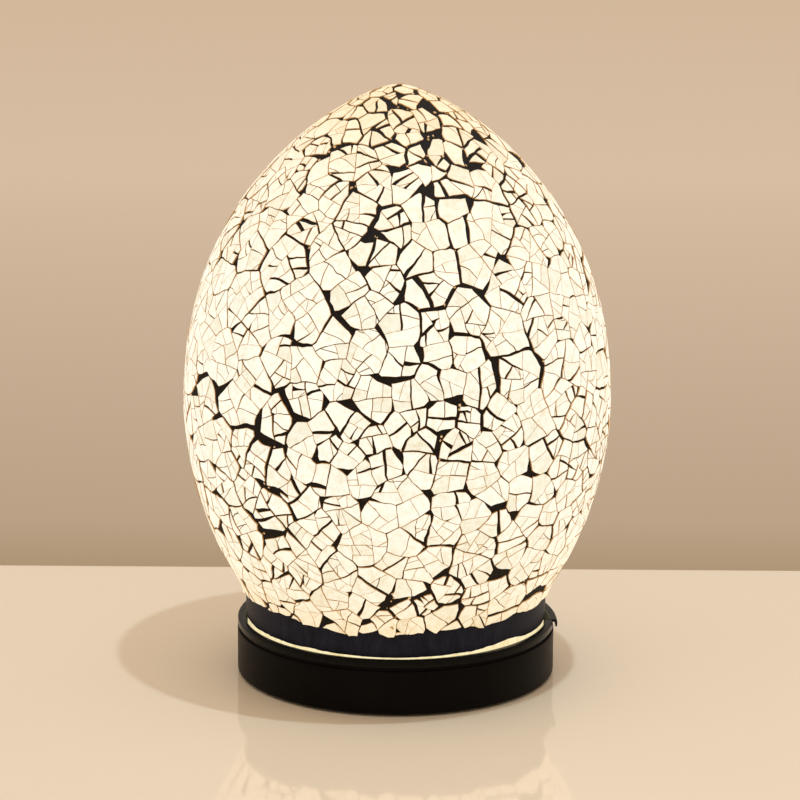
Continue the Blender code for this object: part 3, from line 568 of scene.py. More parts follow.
def dress(node, finish_of):
    """Gives a solid that stays its finish."""
    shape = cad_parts[node].data
    shape.materials.clear()
    shape.materials.append(finish_of)


def closed_mesh(bm, smooth=SMOOTH_ANGLE):
    """Mesh of a bmesh, with its faces outward and its smooth parts shaded smooth."""
    bmesh.ops.recalc_face_normals(bm, faces=bm.faces)
    made = bpy.data.meshes.new("shape")
    bm.to_mesh(made)
    bm.free()
    made.shade_smooth()
    made.set_sharp_from_angle(angle=smooth)
    return made


def rounded(corners, steps=4):
    """Closed outline of (radius, height, rounding) corners, each rounding drawn as a short curve."""
    points = []
    for i, (radius, height, rounding) in enumerate(corners):
        corner = Vector((radius, height))
        back = Vector(corners[i - 1][:2]) - corner
        on = Vector(corners[(i + 1) % len(corners)][:2]) - corner
        if not rounding:
            points.append(corner)
            continue
        reach = min(rounding / math.tan(back.angle(on) / 2), 0.45 * back.length, 0.45 * on.length)
        first = corner + back.normalized() * reach
        last = corner + on.normalized() * reach
        for j in range(steps + 1):
            t = j / steps
            points.append(first * (1 - t) ** 2 + corner * 2 * t * (1 - t) + last * t**2)
    return [tuple(point) for point in points]


def lathe(outline, steps=AROUND):
    """Bmesh of a closed (radius, height) outline turned about Z."""
    bm = bmesh.new()
    ring = [bm.verts.new((radius, 0, height)) for radius, height in outline]
    edges = [bm.edges.new((a, b)) for a, b in zip(ring, ring[1:] + ring[:1])]
    bmesh.ops.spin(
        bm, geom=ring + edges, cent=(0, 0, 0), axis=(0, 0, 1), dvec=(0, 0, 0),
        angle=math.tau, steps=steps, use_duplicate=False,
    )
    bmesh.ops.remove_doubles(bm, verts=bm.verts, dist=1e-6)
    bmesh.ops.dissolve_degenerate(bm, edges=bm.edges, dist=1e-7)
    return bm


def spun(outline, steps=AROUND):
    return closed_mesh(lathe(outline, steps))


def turned(corners, steps=AROUND):
    return spun(rounded(corners), steps)


def moved(shape, matrix):
    shape.transform(matrix)
    return shape


def carved(shape, tool, operation="DIFFERENCE"):
    """Mesh of a shape after a Boolean with another mesh."""
    target = bpy.data.objects.new("carved", shape)
    other = bpy.data.objects.new("tool", tool)
    for each in (target, other):
        bpy.context.scene.collection.objects.link(each)
    step = target.modifiers.new("carve", "BOOLEAN")
    step.operation, step.object, step.solver = operation, other, "EXACT"
    bpy.context.view_layer.update()
    made = bpy.data.meshes.new_from_object(target.evaluated_get(bpy.context.evaluated_depsgraph_get()))
    for each in (target, other):
        bpy.data.objects.remove(each)
    bm = bmesh.new()
    bm.from_mesh(made)
    bmesh.ops.remove_doubles(bm, verts=bm.verts, dist=1e-6)
    bmesh.ops.dissolve_degenerate(bm, edges=bm.edges, dist=1e-6)
    return closed_mesh(bm)


def peg(radius, low, high, steps=32):
    return spun([(0, low), (radius, low), (radius, high), (0, high)], steps)


def shell(outer, inner, crowned):
    """Closed wall between two grids of points in rows from low to high; crowned grids end in one point."""
    rows, columns = outer.shape[:2]
    points = np.concatenate([outer.reshape(-1, 3), inner.reshape(-1, 3)]).tolist()
    back = rows * columns
    faces = []
    for j in range(columns):
        k = (j + 1) % columns
        for i in range(rows - 1):
            low, high = i * columns, (i + 1) * columns
            faces.append((low + j, low + k, high + k, high + j))
            faces.append((back + low + k, back + low + j, back + high + j, back + high + k))
        faces.append((back + j, back + k, k, j))
        top = (rows - 1) * columns
        if crowned:
            faces.append((top + j, top + k, 2 * back))
            faces.append((back + top + k, back + top + j, 2 * back + 1))
        else:
            faces.append((top + j, top + k, back + top + k, back + top + j))
    if crowned:
        points += [(0, 0, outer[-1, 0, 2] + crowned), (0, 0, inner[-1, 0, 2] + crowned)]
    bm = bmesh.new()
    verts = [bm.verts.new(point) for point in points]
    for face in faces:
        bm.faces.new([verts[i] for i in face])
    return closed_mesh(bm)


# ----------------------------------------------------------- geometry nodes


def new_tree(name, sockets):
    """Geometry Nodes tree with a mesh in, a mesh out and named inputs (name, kind, default)."""
    tree = bpy.data.node_groups.new(name, "GeometryNodeTree")
    tree.interface.new_socket("Geometry", in_out="INPUT", socket_type="NodeSocketGeometry")
    tree.interface.new_socket("Geometry", in_out="OUTPUT", socket_type="NodeSocketGeometry")
    for label, kind, default in sockets:
        made = tree.interface.new_socket(label, in_out="INPUT", socket_type=kind)
        if default is not None:
            made.default_value = default
    start = tree.nodes.new("NodeGroupInput")
    return tree, start.outputs


def end_tree(tree, geometry, *finishes):
    """Ends a tree: instances made real, then each (material, selection) set, the selection None for all faces."""
    last = add(tree, "GeometryNodeRealizeInstances", {"Geometry": geometry})
    for finish_of, selection in finishes:
        links = {"Geometry": last.outputs["Geometry"], "Material": finish_of}
        if selection:
            links["Selection"] = selection
        last = add(tree, "GeometryNodeSetMaterial", links)
    add(tree, "NodeGroupOutput", {"Geometry": last.outputs["Geometry"]})
    return tree


def grown(shape, tree, **inputs):
    """Plain mesh that a tree makes from a mesh; an input's name has _ for each space."""
    holder = bpy.data.objects.new("grown", shape)
    bpy.context.scene.collection.objects.link(holder)
    step = holder.modifiers.new("grow", "NODES")
    step.node_group = tree
    labels = {
        item.name: item.identifier
        for item in tree.interface.items_tree
        if item.item_type == "SOCKET" and item.in_out == "INPUT"
    }
    for name, value in inputs.items():
        step[labels[name.replace("_", " ")]] = value
    bpy.context.view_layer.update()
    made = bpy.data.meshes.new_from_object(holder.evaluated_get(bpy.context.evaluated_depsgraph_get()))
    bpy.data.objects.remove(holder)
    return made


def math_of(tree, operation, first, second=0.0):
    return add(tree, "ShaderNodeMath", {0: first, 1: second}, operation=operation).outputs[0]


def chip_tree():
    """Flat chips raised to their thickness, each with a worn bevel round its face."""
    tree, given = new_tree(
        "Raised chips",
        (
            ("Thickness", "NodeSocketFloat", 0.001),
            ("Bevel", "NodeSocketFloat", 0.0002),
            ("Face", "NodeSocketMaterial", None),
            ("Edge", "NodeSocketMaterial", None),
        ),
    )
    flat = given["Geometry"]
    under = add(tree, "GeometryNodeFlipFaces", {"Mesh": flat}).outputs["Mesh"]
    wall = math_of(tree, "SUBTRACT", given["Thickness"], given["Bevel"])
    links = {"Mesh": flat, "Offset Scale": wall, "Individual": True}
    raised = add(tree, "GeometryNodeExtrudeMesh", links).outputs
    links = {"Mesh": raised["Mesh"], "Selection": raised["Top"], "Offset Scale": given["Bevel"]}
    crown = add(tree, "GeometryNodeExtrudeMesh", {**links, "Individual": True})
    across = math_of(tree, "SQRT", add(tree, "GeometryNodeInputMeshFaceArea").outputs[0])
    lost = math_of(tree, "DIVIDE", math_of(tree, "MULTIPLY", given["Bevel"], 2.0), across)
    kept = math_of(tree, "SUBTRACT", 1.0, lost)
    worn = add(
        tree,
        "GeometryNodeScaleElements",
        {"Geometry": crown.outputs["Mesh"], "Selection": crown.outputs["Top"], "Scale": kept},
        domain="FACE",
    )
    both = add(tree, "GeometryNodeJoinGeometry")
    for part in (worn.outputs["Geometry"], under):
        tree.links.new(part, both.inputs["Geometry"])
    welded = add(tree, "GeometryNodeMergeByDistance", {"Geometry": both.outputs["Geometry"], "Distance": WELD})
    finishes = (given["Edge"], None), (given["Face"], crown.outputs["Top"])
    return end_tree(tree, welded.outputs["Geometry"], *finishes)


def thread_tree():
    """Round thread pressed into a tube: the wall moves in and out along a helix, fading at both ends."""
    tree, given = new_tree(
        "Pressed thread",
        (
            ("Pitch", "NodeSocketFloat", 0.0036),
            ("Depth", "NodeSocketFloat", 0.0007),
            ("Low", "NodeSocketFloat", 0.0),
            ("High", "NodeSocketFloat", 0.02),
            ("From Radius", "NodeSocketFloat", 0.0),
            ("Finish", "NodeSocketMaterial", None),
        ),
    )

    def faded(near, far):
        links = {"Value": parts["Z"], "From Min": near, "From Max": far}
        return add(tree, "ShaderNodeMapRange", links, interpolation_type="SMOOTHSTEP").outputs["Result"]

    place = add(tree, "GeometryNodeInputPosition").outputs[0]
    parts = add(tree, "ShaderNodeSeparateXYZ", {0: place}).outputs
    angle = math_of(tree, "ARCTAN2", parts["Y"], parts["X"])
    turns = math_of(tree, "DIVIDE", math_of(tree, "SUBTRACT", parts["Z"], given["Low"]), given["Pitch"])
    along = math_of(tree, "MULTIPLY", turns, math.tau)
    wave = math_of(tree, "SINE", math_of(tree, "SUBTRACT", along, angle))
    dip = math_of(tree, "MULTIPLY", math_of(tree, "SUBTRACT", wave, 1.0), 0.5)
    rise = faded(given["Low"], math_of(tree, "ADD", given["Low"], given["Pitch"]))
    fall = faded(given["High"], math_of(tree, "SUBTRACT", given["High"], given["Pitch"]))
    flat = add(tree, "ShaderNodeCombineXYZ", {"X": parts["X"], "Y": parts["Y"]}).outputs[0]
    radius = add(tree, "ShaderNodeVectorMath", {0: flat}, operation="LENGTH").outputs["Value"]
    amount = math_of(tree, "GREATER_THAN", radius, given["From Radius"])
    for part in (dip, given["Depth"], rise, fall):
        amount = math_of(tree, "MULTIPLY", amount, part)
    out = add(tree, "ShaderNodeVectorMath", {0: flat}, operation="NORMALIZE").outputs[0]
    offset = add(tree, "ShaderNodeVectorMath", {0: out, "Scale": amount}, operation="SCALE").outputs[0]
    pressed = add(tree, "GeometryNodeSetPosition", {"Geometry": given["Geometry"], "Offset": offset})
    return end_tree(tree, pressed.outputs["Geometry"], (given["Finish"], None))


def screw_tree():
    """One screw set on each point."""
    tree, given = new_tree(
        "Screws on points",
        (
            ("Screw", "NodeSocketObject", None),
            ("Turn", "NodeSocketFloat", 0.0),
            ("Finish", "NodeSocketMaterial", None),
        ),
    )
    source = add(tree, "GeometryNodeObjectInfo", {"Object": given["Screw"]}).outputs["Geometry"]
    index = add(tree, "GeometryNodeInputIndex").outputs[0]
    turn = math_of(tree, "MULTIPLY", index, given["Turn"])
    angles = add(tree, "ShaderNodeCombineXYZ", {"Z": turn}).outputs[0]
    set_down = add(
        tree,
        "GeometryNodeInstanceOnPoints",
        {"Points": given["Geometry"], "Instance": source, "Rotation": angles},
    )
    return end_tree(tree, set_down.outputs["Instances"], (given["Finish"], None))


def screws_at(places, screw, turn, finish_of):
    """Mesh of one screw at each place."""
    source = bpy.data.objects.new("screw", screw)
    bpy.context.scene.collection.objects.link(source)
    points = bpy.data.meshes.new("screw_places")
    points.from_pydata(places, [], [])
    made = grown(points, screw_tree(), Screw=source, Turn=turn, Finish=finish_of)
    bpy.data.objects.remove(source)
    return made


# ------------------------------------------------------------------ mosaic


def egg_radius(height, inset):
    """Radius of the egg at heights from the floor, inset from the chips' faces."""
    up = np.clip((height - WAIST) / (EGG_RISE - inset), 0, 1)
    down = np.clip((WAIST - height) / (EGG_DROP - inset), 0, 1)
    above = (1 - up**TIP_POWER) ** (1 / TIP_ROUNDNESS)
    below = (1 - down**FOOT_POWER) ** (1 / FOOT_ROUNDNESS)
    return (EGG_RADIUS - inset) * np.where(height >= WAIST, above, below)


def skin_radius(height, inset=0.0):
    """The egg's radius, running into the straight ring of chips over the band."""
    egg = egg_radius(height, inset)
    lap = LAP_RADIUS - inset
    soft = (egg + lap + np.sqrt((egg - lap) ** 2 + LAP_BLEND**2)) / 2
    soft = np.minimum(soft, np.maximum(egg, lap) + LAP_BLEND / 2)
    return np.where(height < (BAND_TOP + WAIST) / 2, soft, egg)


def on_skin(points, inset=0.0):
    """Points moved along rays from the middle of the egg onto its face."""
    middle = np.array((0, 0, WAIST))
    rays = points - middle
    rays = rays / np.linalg.norm(rays, axis=1, keepdims=True)
    flat = np.hypot(rays[:, 0], rays[:, 1])
    near = np.zeros(len(rays))
    far = np.full(len(rays), EGG_RADIUS + EGG_RISE)
    for _ in range(36):
        reach = (near + far) / 2
        height = WAIST + reach * rays[:, 2]
        inside = (reach * flat < skin_radius(height, inset)) & (height < EGG_TOP - inset)
        near = np.where(inside, reach, near)
        far = np.where(inside, far, reach)
    return middle + rays * near[:, None]


def skin_points(count, shake, random):
    """Points spread evenly over the face on a golden spiral, each strayed by a share of the spacing."""
    heights = np.linspace(EGG_TOP, LAP_LOWEST, 500)
    radii = skin_radius(heights)
    strips = math.pi * np.hypot(np.diff(radii), np.diff(heights)) * (radii[1:] + radii[:-1])
    running = np.insert(np.cumsum(strips), 0, 0)
    places = np.interp((np.arange(count) + 0.5) / count * running[-1], running, heights)
    radius, angle = skin_radius(places), GOLDEN_ANGLE * np.arange(count)
    points = np.column_stack([radius * np.cos(angle), radius * np.sin(angle), places])
    stray = shake * math.sqrt(running[-1] / count)
    return on_skin(points + random.uniform(-stray, stray, points.shape))


def rough(points, scale, shift):
    """Smooth noise, about -1 to 1, at points; shift picks another one."""
    offset = Vector((shift, 2.3 * shift, -1.7 * shift))
    return np.array([noise.noise(Vector(point) * scale + offset) for point in points])


def open_share(points):
    """How far apart the sheets lie, 0 to 1: most in patches down the front, less at its edges."""
    side = np.arctan2(points[:, 0], -points[:, 1])
    radius = np.hypot(points[:, 0], points[:, 1])
    found = 0.46 + 0.20 * rough(points, 21, 3.1) + 0.60 * rough(points, 70, 8.4)
    for angle, height, reach, amount in OPEN_SPOTS:
        off = (np.mod(side - angle + math.pi, math.tau) - math.pi) * radius
        found = found + amount * np.exp(-(off**2 + (points[:, 2] - height) ** 2) / reach**2)
    return np.clip(found, 0.02, 0.80)


def sheet_middles(look, random):
    """Middles of the glass sheets: small at the tip, large and small in patches elsewhere."""
    tries = skin_points(int(TRIES * FACE_AREA / look.sheet_size**2), 0.6, random)
    tries = tries[random.permutation(len(tries))]
    tip = np.clip((tries[:, 2] - 0.72 * EGG_TOP) / (0.28 * EGG_TOP), 0, 1)
    patch = 1 + 0.50 * rough(tries, 24, 14.0)
    small = random.random(len(tries)) < SMALL_SHEETS
    draw = np.where(small, SMALL_SIZE, 1.0) * random.uniform(0.75, 1.35, len(tries))
    room = look.sheet_size * patch * (1 - 0.40 * tip) * draw
    kept = np.empty(len(tries), int)
    count = 0
    for i in range(len(tries)):
        near = kept[:count]
        gaps = np.linalg.norm(tries[near] - tries[i], axis=1)
        if (gaps > (room[near] + room[i]) / 2).all():
            kept[count] = i
            count += 1
    return tries[kept[:count]]


def cells_round(middles):
    """Corners between sheets, and for each sheet its corners in turn with the neighbour after each."""
    hull = bmesh.new()
    rays = middles - np.array((0, 0, WAIST))
    for ray in rays / np.linalg.norm(rays, axis=1, keepdims=True):
        hull.verts.new(ray)
    bmesh.ops.convex_hull(hull, input=hull.verts)
    bmesh.ops.recalc_face_normals(hull, faces=hull.faces)
    hull.verts.index_update()
    hull.faces.index_update()
    corners = np.array([tuple(face.normal) for face in hull.faces])
    corners = on_skin(corners + np.array((0, 0, WAIST)))
    rounds = []
    for vertex in hull.verts:
        loop = vertex.link_loops[0]
        turn = []
        for _ in vertex.link_loops:
            edge = loop.link_loop_prev.edge
            turn.append((loop.face.index, edge.other_vert(vertex).index))
            loop = loop.link_loop_prev.link_loop_radial_next
        rounds.append(turn)
    hull.free()
    return corners, rounds


def clipped(outline, start, end):
    """Part of a flat convex outline to the left of a line."""
    along = end - start
    sides = [along.cross(point - start) for point in outline]
    kept = []
    for i, point in enumerate(outline):
        before, side = sides[i - 1], sides[i]
        if (before < 0) != (side < 0):
            kept.append(outline[i - 1].lerp(point, before / (before - side)))
        if side >= 0:
            kept.append(point)
    return kept


def tidy_outline(outline, least):
    """Outline without points closer than least to the one before."""
    return [p for i, p in enumerate(outline) if (p - outline[i - 1]).length > least]


def outline_area(outline):
    return sum(outline[i - 1].cross(point) for i, point in enumerate(outline)) / 2


def flat_frame(normal):
    """Two directions along a face with this normal."""
    first = Vector((0, 0, 1)).cross(normal)
    first = first.normalized() if first.length > 1e-4 else Vector((1, 0, 0))
    return first, normal.cross(first)


def pointed(outline, step):
    """Outline with more points along its longer sides, so that they can bend."""
    points = []
    for i, end in enumerate(outline):
        count = max(1, round((end - outline[i - 1]).length / step))
        points += [outline[i - 1].lerp(end, (k + 1) / count) for k in range(count)]
    return points


def strayed(points, look):
    """Points moved by smooth noise, so that cracks and gaps bend and both their sides bend alike."""
    noise.seed_set(look.seed + 1)  # never 0, which would draw another noise each run
    moves = [noise.noise_vector(p * BEND) + 0.4 * noise.noise_vector(p * FINE_BEND) for p in points]
    return np.array(points) + look.stray * np.array(moves)


def lap_edge(points):
    """Height at which the chips end over the band, by where they are round the neck."""
    side = np.arctan2(points[:, 0], -points[:, 1])
    ring = np.column_stack([np.cos(side), np.sin(side), np.zeros(len(side))])
    front = np.exp(-((side / 0.45) ** 2))
    waves = 0.0022 * rough(ring, 2.1, 5.0), 0.0012 * rough(ring, 6.0, 9.0)
    return BAND_FOOT + LAP_HEIGHT + waves[0] + waves[1] - 0.0022 * front


def snapped(outline, look, random):
    """Outline, or for some two parts of it: a corner snapped off and the rest."""
    if len(outline) < 4 or random.random() > look.snapped:
        return [outline]
    k = random.integers(len(outline))
    tip, before, after = outline[k], outline[k - 1], outline[(k + 1) % len(outline)]
    start = before.lerp(tip, random.uniform(0.25, 0.7))
    end = tip.lerp(after, random.uniform(0.3, 0.75))
    if (end - start).length < SHORTEST_SNAP:
        return [outline]
    aside = Vector((start.y - end.y, end.x - start.x)).normalized() * look.crack
    return [clipped(outline, start + aside, end + aside), clipped(outline, end - aside, start - aside)]


def compactness(outline):
    """Area over the squared length of the outline: small for slivers."""
    around = sum((point - outline[i - 1]).length for i, point in enumerate(outline))
    return outline_area(outline) / around**2 if around else 0


def cut_across(outline, random):
    """Ends of a line across an outline's longer direction."""
    middle = sum(outline, Vector((0, 0))) / len(outline)
    far = max(outline, key=lambda point: (point - middle).length) - middle
    along = (Matrix.Rotation(random.uniform(-0.6, 0.6), 2) @ far).normalized()
    lengths = [(point - middle).dot(along) for point in outline]
    at = middle + along * random.uniform(-0.20, 0.20) * (max(lengths) - min(lengths))
    across = Matrix.Rotation(random.uniform(-0.4, 0.4), 2) @ Vector((-along.y, along.x))
    breadths = [(point - at).dot(across) for point in outline]
    return at + across * min(breadths), at + across * max(breadths)


def shattered(outline, look, opening, random):
    """Outline broken across again and again, until each chip is small; some of the cracks gape."""
    area = outline_area(outline) if len(outline) > 2 else 0
    if area < look.chip_area * 2 ** random.uniform(*AREA_SPREAD):
        return snapped(outline, look, random) if area > 0 else []
    cuts = [cut_across(outline, random) for _ in range(CUTS)]
    low, high = max(cuts, key=lambda cut: min(compactness(clipped(outline, *way)) for way in (cut, cut[::-1])))
    widths = look.crack * (0.25 + 2.4 * random.random() ** 2) * random.uniform(0.7, 1.3, 2)
    if random.random() < 0.06 + 0.85 * opening:
        widths = widths + look.gape * opening * random.uniform(0, 1, 2) ** 1.5
    aside = Vector((low.y - high.y, high.x - low.x)).normalized() / 2
    left = clipped(outline, low + aside * widths[0], high + aside * widths[1])
    right = clipped(outline, high - aside * widths[1], low - aside * widths[0])
    return shattered(left, look, opening, random) + shattered(right, look, opening, random)


def sheet_outline(cell, middle, axes, corners, widths, losses, loose, seam, random):
    """Flat outline of one sheet: its cell, cut back by the gaps beside it and broken at its corners."""
    flat = []
    for corner, _ in cell:
        offset = Vector(corners[corner]) - middle
        flat.append(Vector((offset.dot(axes[0]), offset.dot(axes[1]))))
    turns = list(range(len(cell)))
    if outline_area(flat) < 0:
        turns.reverse()
    outline = [flat[i] for i in turns]
    for k, i in enumerate(turns):
        j = turns[(k + 1) % len(turns)]
        neighbour = cell[i][1] if (i + 1) % len(turns) == j else cell[j][1]
        side = flat[j] - flat[i]
        if side.length < SHORTEST_SIDE:
            continue
        inward = Vector((-side.y, side.x)).normalized() / 2
        ends = [seam + loose[neighbour] * widths[cell[end][0]] for end in (i, j)]
        outline = clipped(outline, flat[i] + inward * ends[0], flat[j] + inward * ends[1])
    for i in turns:
        if random.random() < KEPT_CORNERS:
            continue
        out = Matrix.Rotation(random.uniform(-0.6, 0.6), 2) @ flat[i].normalized()
        at = flat[i] - flat[i].normalized() * min(losses[cell[i][0]], 0.45 * flat[i].length)
        outline = clipped(outline, at, at + Vector((-out.y, out.x)))
    return outline


def looseness(*pair):
    """How far the gap between two sheets opens; two in five stay shut."""
    draw = np.random.default_rng(pair).uniform()
    return 0.0 if draw < SHUT_SHARE else 0.10 + 1.25 * draw


def chip_outlines(look):
    """Flat outlines of all chips, each with its sheet's middle, axes and lean; where crumbs lie; the draw."""
    random = np.random.default_rng(look.seed)
    middles = sheet_middles(look, random)
    corners, cells = cells_round(middles)
    opening = open_share(corners)
    widths = look.gap * opening**1.4 * random.uniform(0, 1, len(corners))
    losses = look.corner * opening * random.uniform(0, 1, len(corners)) ** 1.3
    slopes = surface_normals(middles)
    edges = lap_edge(middles)
    shares = open_share(middles)
    chips = []
    for i in np.nonzero(middles[:, 2] > edges - look.sheet_size)[0]:
        middle = Vector(middles[i])
        axes = flat_frame(Vector(slopes[i]))
        loose = {other: looseness(look.seed, min(i, other), max(i, other)) for _, other in cells[i]}
        outline = sheet_outline(cells[i], middle, axes, corners, widths, losses, loose, look.seam, random)
        lowest = edges[i] + random.uniform(-LAP_SHAKE, LAP_SHAKE) if axes[1].z > 0.3 else None
        floor = -1 if lowest is None else (lowest - middle.z) / axes[1].z
        outline = clipped(outline, Vector((-1, floor)), Vector((1, floor)))
        lean = Vector(random.uniform(-1, 1, 2)) * look.chip_tilt
        for chip in shattered(outline, look, shares[i], random):
            chip = tidy_outline(chip, CLOSEST_POINTS)
            if len(chip) > 2 and outline_area(chip) > SMALLEST_CHIP:
                chips.append((middle, axes, lean, pointed(chip, OUTLINE_STEP)))
    wide = (widths > 0.3 * look.gap) & (corners[:, 2] > lap_edge(corners) + 0.004)
    return chips, corners[wide], random


def surface_normals(points):
    """Outward normals of the face at points."""
    step = 1e-5
    slope = (skin_radius(points[:, 2] + step) - skin_radius(points[:, 2] - step)) / (2 * step)
    radius = np.maximum(np.hypot(points[:, 0], points[:, 1]), 1e-6)
    found = np.column_stack([points[:, 0] / radius, points[:, 1] / radius, -slope])
    return found / np.linalg.norm(found, axis=1, keepdims=True)


def chip_meshes(look):
    """Flat chips laid on the egg: those above its widest part and those below."""
    chips, junctions, random = chip_outlines(look)
    points, insets, faces, tints = [], [], [], []
    for middle, axes, lean, outline in chips:
        sunk = look.chip_thick + CHIP_REST + random.uniform(0, CHIP_REST)
        start = len(points)
        for flat in outline:
            points.append(middle + axes[0] * flat.x + axes[1] * flat.y)
            insets.append(max(sunk + lean.dot(flat), look.chip_thick))
        faces.append(range(start, len(points)))
        tints.append(random.uniform(0.06, 1))
    for junction, normal in zip(junctions, surface_normals(junctions)):
        axes = flat_frame(Vector(normal))
        for _ in range(random.integers(0, 3)):
            aside = Vector(random.normal(0, CRUMB_STRAY, 2))
            across, sides, start = random.uniform(CRUMB_LEAST, CRUMB_MOST), random.integers(4, 6), len(points)
            for k in range(sides):
                angle = math.tau * (k + random.uniform(-0.3, 0.3)) / sides
                flat = aside + Vector((math.cos(angle), math.sin(angle))) * across
                points.append(Vector(junction) + axes[0] * flat.x + axes[1] * flat.y)
                insets.append(1.5 * look.chip_thick)
            faces.append(range(start, len(points)))
            tints.append(random.uniform(0, 0.03))
    placed = on_skin(strayed(points, look), np.array(insets))
    upper = placed[[face[0] for face in faces], 2] > WAIST
    return [picked_chips(placed, faces, np.array(tints, np.float32), part) for part in (upper, ~upper)]


def picked_chips(points, faces, tints, picked):
    """Mesh of the picked chips, one face each, with a tint for each."""
    kept = [face for face, wanted in zip(faces, picked) if wanted]
    ends = np.cumsum([len(face) for face in kept])
    made = bpy.data.meshes.new("flat_chips")
    made.from_pydata(
        np.concatenate([points[face.start : face.stop] for face in kept]).tolist(),
        [],
        [list(range(end - len(face), end)) for face, end in zip(kept, ends)],
    )
    made.attributes.new("tint", "FLOAT", "FACE").data.foreach_set("value", tints[picked])
    return made


def round_neck(columns):
    """Angles in even steps round the neck, and the points at these on a circle of radius 1."""
    turns = np.arange(columns) * math.tau / columns
    return turns, np.column_stack([np.cos(turns), np.sin(turns), np.zeros(columns)])


def grout_mesh(look, columns=144, rows=90):
    """Black bed under the chips, ending a little above their ragged lower edge."""
    _, ring = round_neck(columns)
    lowest = lap_edge(ring) + GROUT_EDGE
    outer, inner = [], []
    for i in range(rows):
        up = math.sin(math.pi / 2 * i / rows)
        for grid, inset in ((outer, look.chip_thick - GROUT_REST), (inner, SKIN)):
            height = lowest + (EGG_TOP - inset - lowest) * up
            radius = skin_radius(height, inset)
            if grid is inner:
                radius = np.where(height < BAND_TOP + 0.004, np.maximum(radius, BAND_RADIUS + 0.0001), radius)
            grid.append(np.column_stack([radius * ring[:, 0], radius * ring[:, 1], height]))
    return shell(np.array(outer), np.array(inner), 0.00003)


def band_mesh(look, columns=320, rows=10):
    """Painted band with a ragged lower edge and a slightly uneven coat."""
    turns, ring = round_neck(columns)
    rag = 0.15 + 0.5 * rough(ring, 7, 2.0) + 0.35 * rough(ring, 29, 4.0) + 0.25 * rough(ring, 85, 6.0)
    right = np.exp(-(((turns - math.tau + 0.75) / 0.16) ** 2))
    front = np.exp(-(((turns - 0.75 * math.tau) / 0.45) ** 2))
    lowest = BAND_FOOT + look.ragged * (np.clip(rag, 0, 1.4) * (1 - 0.7 * front) + 1.6 * right - 0.45 * front)
    outer, inner = [], []
    for i in range(rows + 1):
        height = lowest + (BAND_TOP - lowest) * i / rows
        coat = BAND_RADIUS - 0.00012 + 0.00010 * rough(ring * (9 + 0.2 * i), 4, 1.0 + i)
        coat = coat - (0.00025 if i in (0, rows) else 0)
        outer.append(np.column_stack([coat * ring[:, 0], coat * ring[:, 1], height]))
        back = NECK_RADIUS + 0.00005
        inner.append(np.column_stack([back * ring[:, 0], back * ring[:, 1], height]))
    return shell(np.array(outer), np.array(inner), 0)


def glass_mesh():
    """Blown glass: straight neck, egg, and the same wall inside."""

    def wall(inset, throat):
        above = WAIST + (EGG_RISE - inset) * np.sin(np.linspace(0, 1.555, 40))
        rows = np.concatenate([np.linspace(BAND_FOOT, WAIST, 24)[:-1], above])
        radii = np.maximum(egg_radius(rows, inset), np.where(rows < WAIST, throat, 0))
        return [(float(r), float(z)) for r, z in zip(radii, rows)] + [(0, EGG_TOP - inset)]

    throat = NECK_RADIUS - GLASS_WALL
    lip = [(throat, NECK_FOOT + 0.001), (throat + 0.0007, NECK_FOOT + 0.0001), (throat + 0.0015, NECK_FOOT)]
    lip += [(NECK_RADIUS - 0.0007, NECK_FOOT + 0.0001), (NECK_RADIUS, NECK_FOOT + 0.001)]
    outline = lip + wall(GLASS_INSET, NECK_RADIUS) + wall(GLASS_INSET + GLASS_WALL, throat)[::-1]
    return spun(outline, 128)


class LAMP_OT_mosaic(bpy.types.Operator):
    """Lay the cracked glass chips and the black grout over the egg"""

    bl_idname = "egg_lamp.mosaic"
    bl_label = "Mosaic"

    def execute(self, context):
        look = context.scene.egg_mosaic
        face, edge = chip_face_finish(look), chip_edge_finish(look)
        tree = chip_tree()
        for name, flat in zip(("mosaic_chips_upper", "mosaic_chips_lower"), chip_meshes(look)):
            raised = grown(flat, tree, Thickness=look.chip_thick, Bevel=look.chip_bevel, Face=face, Edge=edge)
            piece(name, raised, [], "shade", ["mosaic_skin"])
        bed = grout_mesh(look)
        piece("mosaic_grout", bed, [grout_finish(look)], "shade", ["mosaic_skin"])
        return {"FINISHED"}


class LAMP_OT_neck(bpy.types.Operator):
    """Make the blown glass and the painted band on its neck"""

    bl_idname = "egg_lamp.neck"
    bl_label = "Glass and neck band"

    def execute(self, context):
        look = context.scene.egg_neck
        piece("blown_glass", glass_mesh(), [lit_glass_finish(look)], "shade", ["glass_shell"])
        piece("painted_band", band_mesh(look), [band_finish(look)], "shade", ["neck_band"])
        return {"FINISHED"}


# -------------------------------------------------------------------- base


def screw_places(height):
    angles = [math.tau * i / 3 for i in range(3)]
    return [(SCREW_CIRCLE * math.cos(a), SCREW_CIRCLE * math.sin(a), height) for a in angles]


def rearward(shape):
    """A shape turned about Z, laid along the way of the cord through the rear wall."""
    return moved(shape, Matrix.Translation((0, 0, GROMMET_HEIGHT)) @ Matrix.Rotation(-math.pi / 2, 4, "X"))


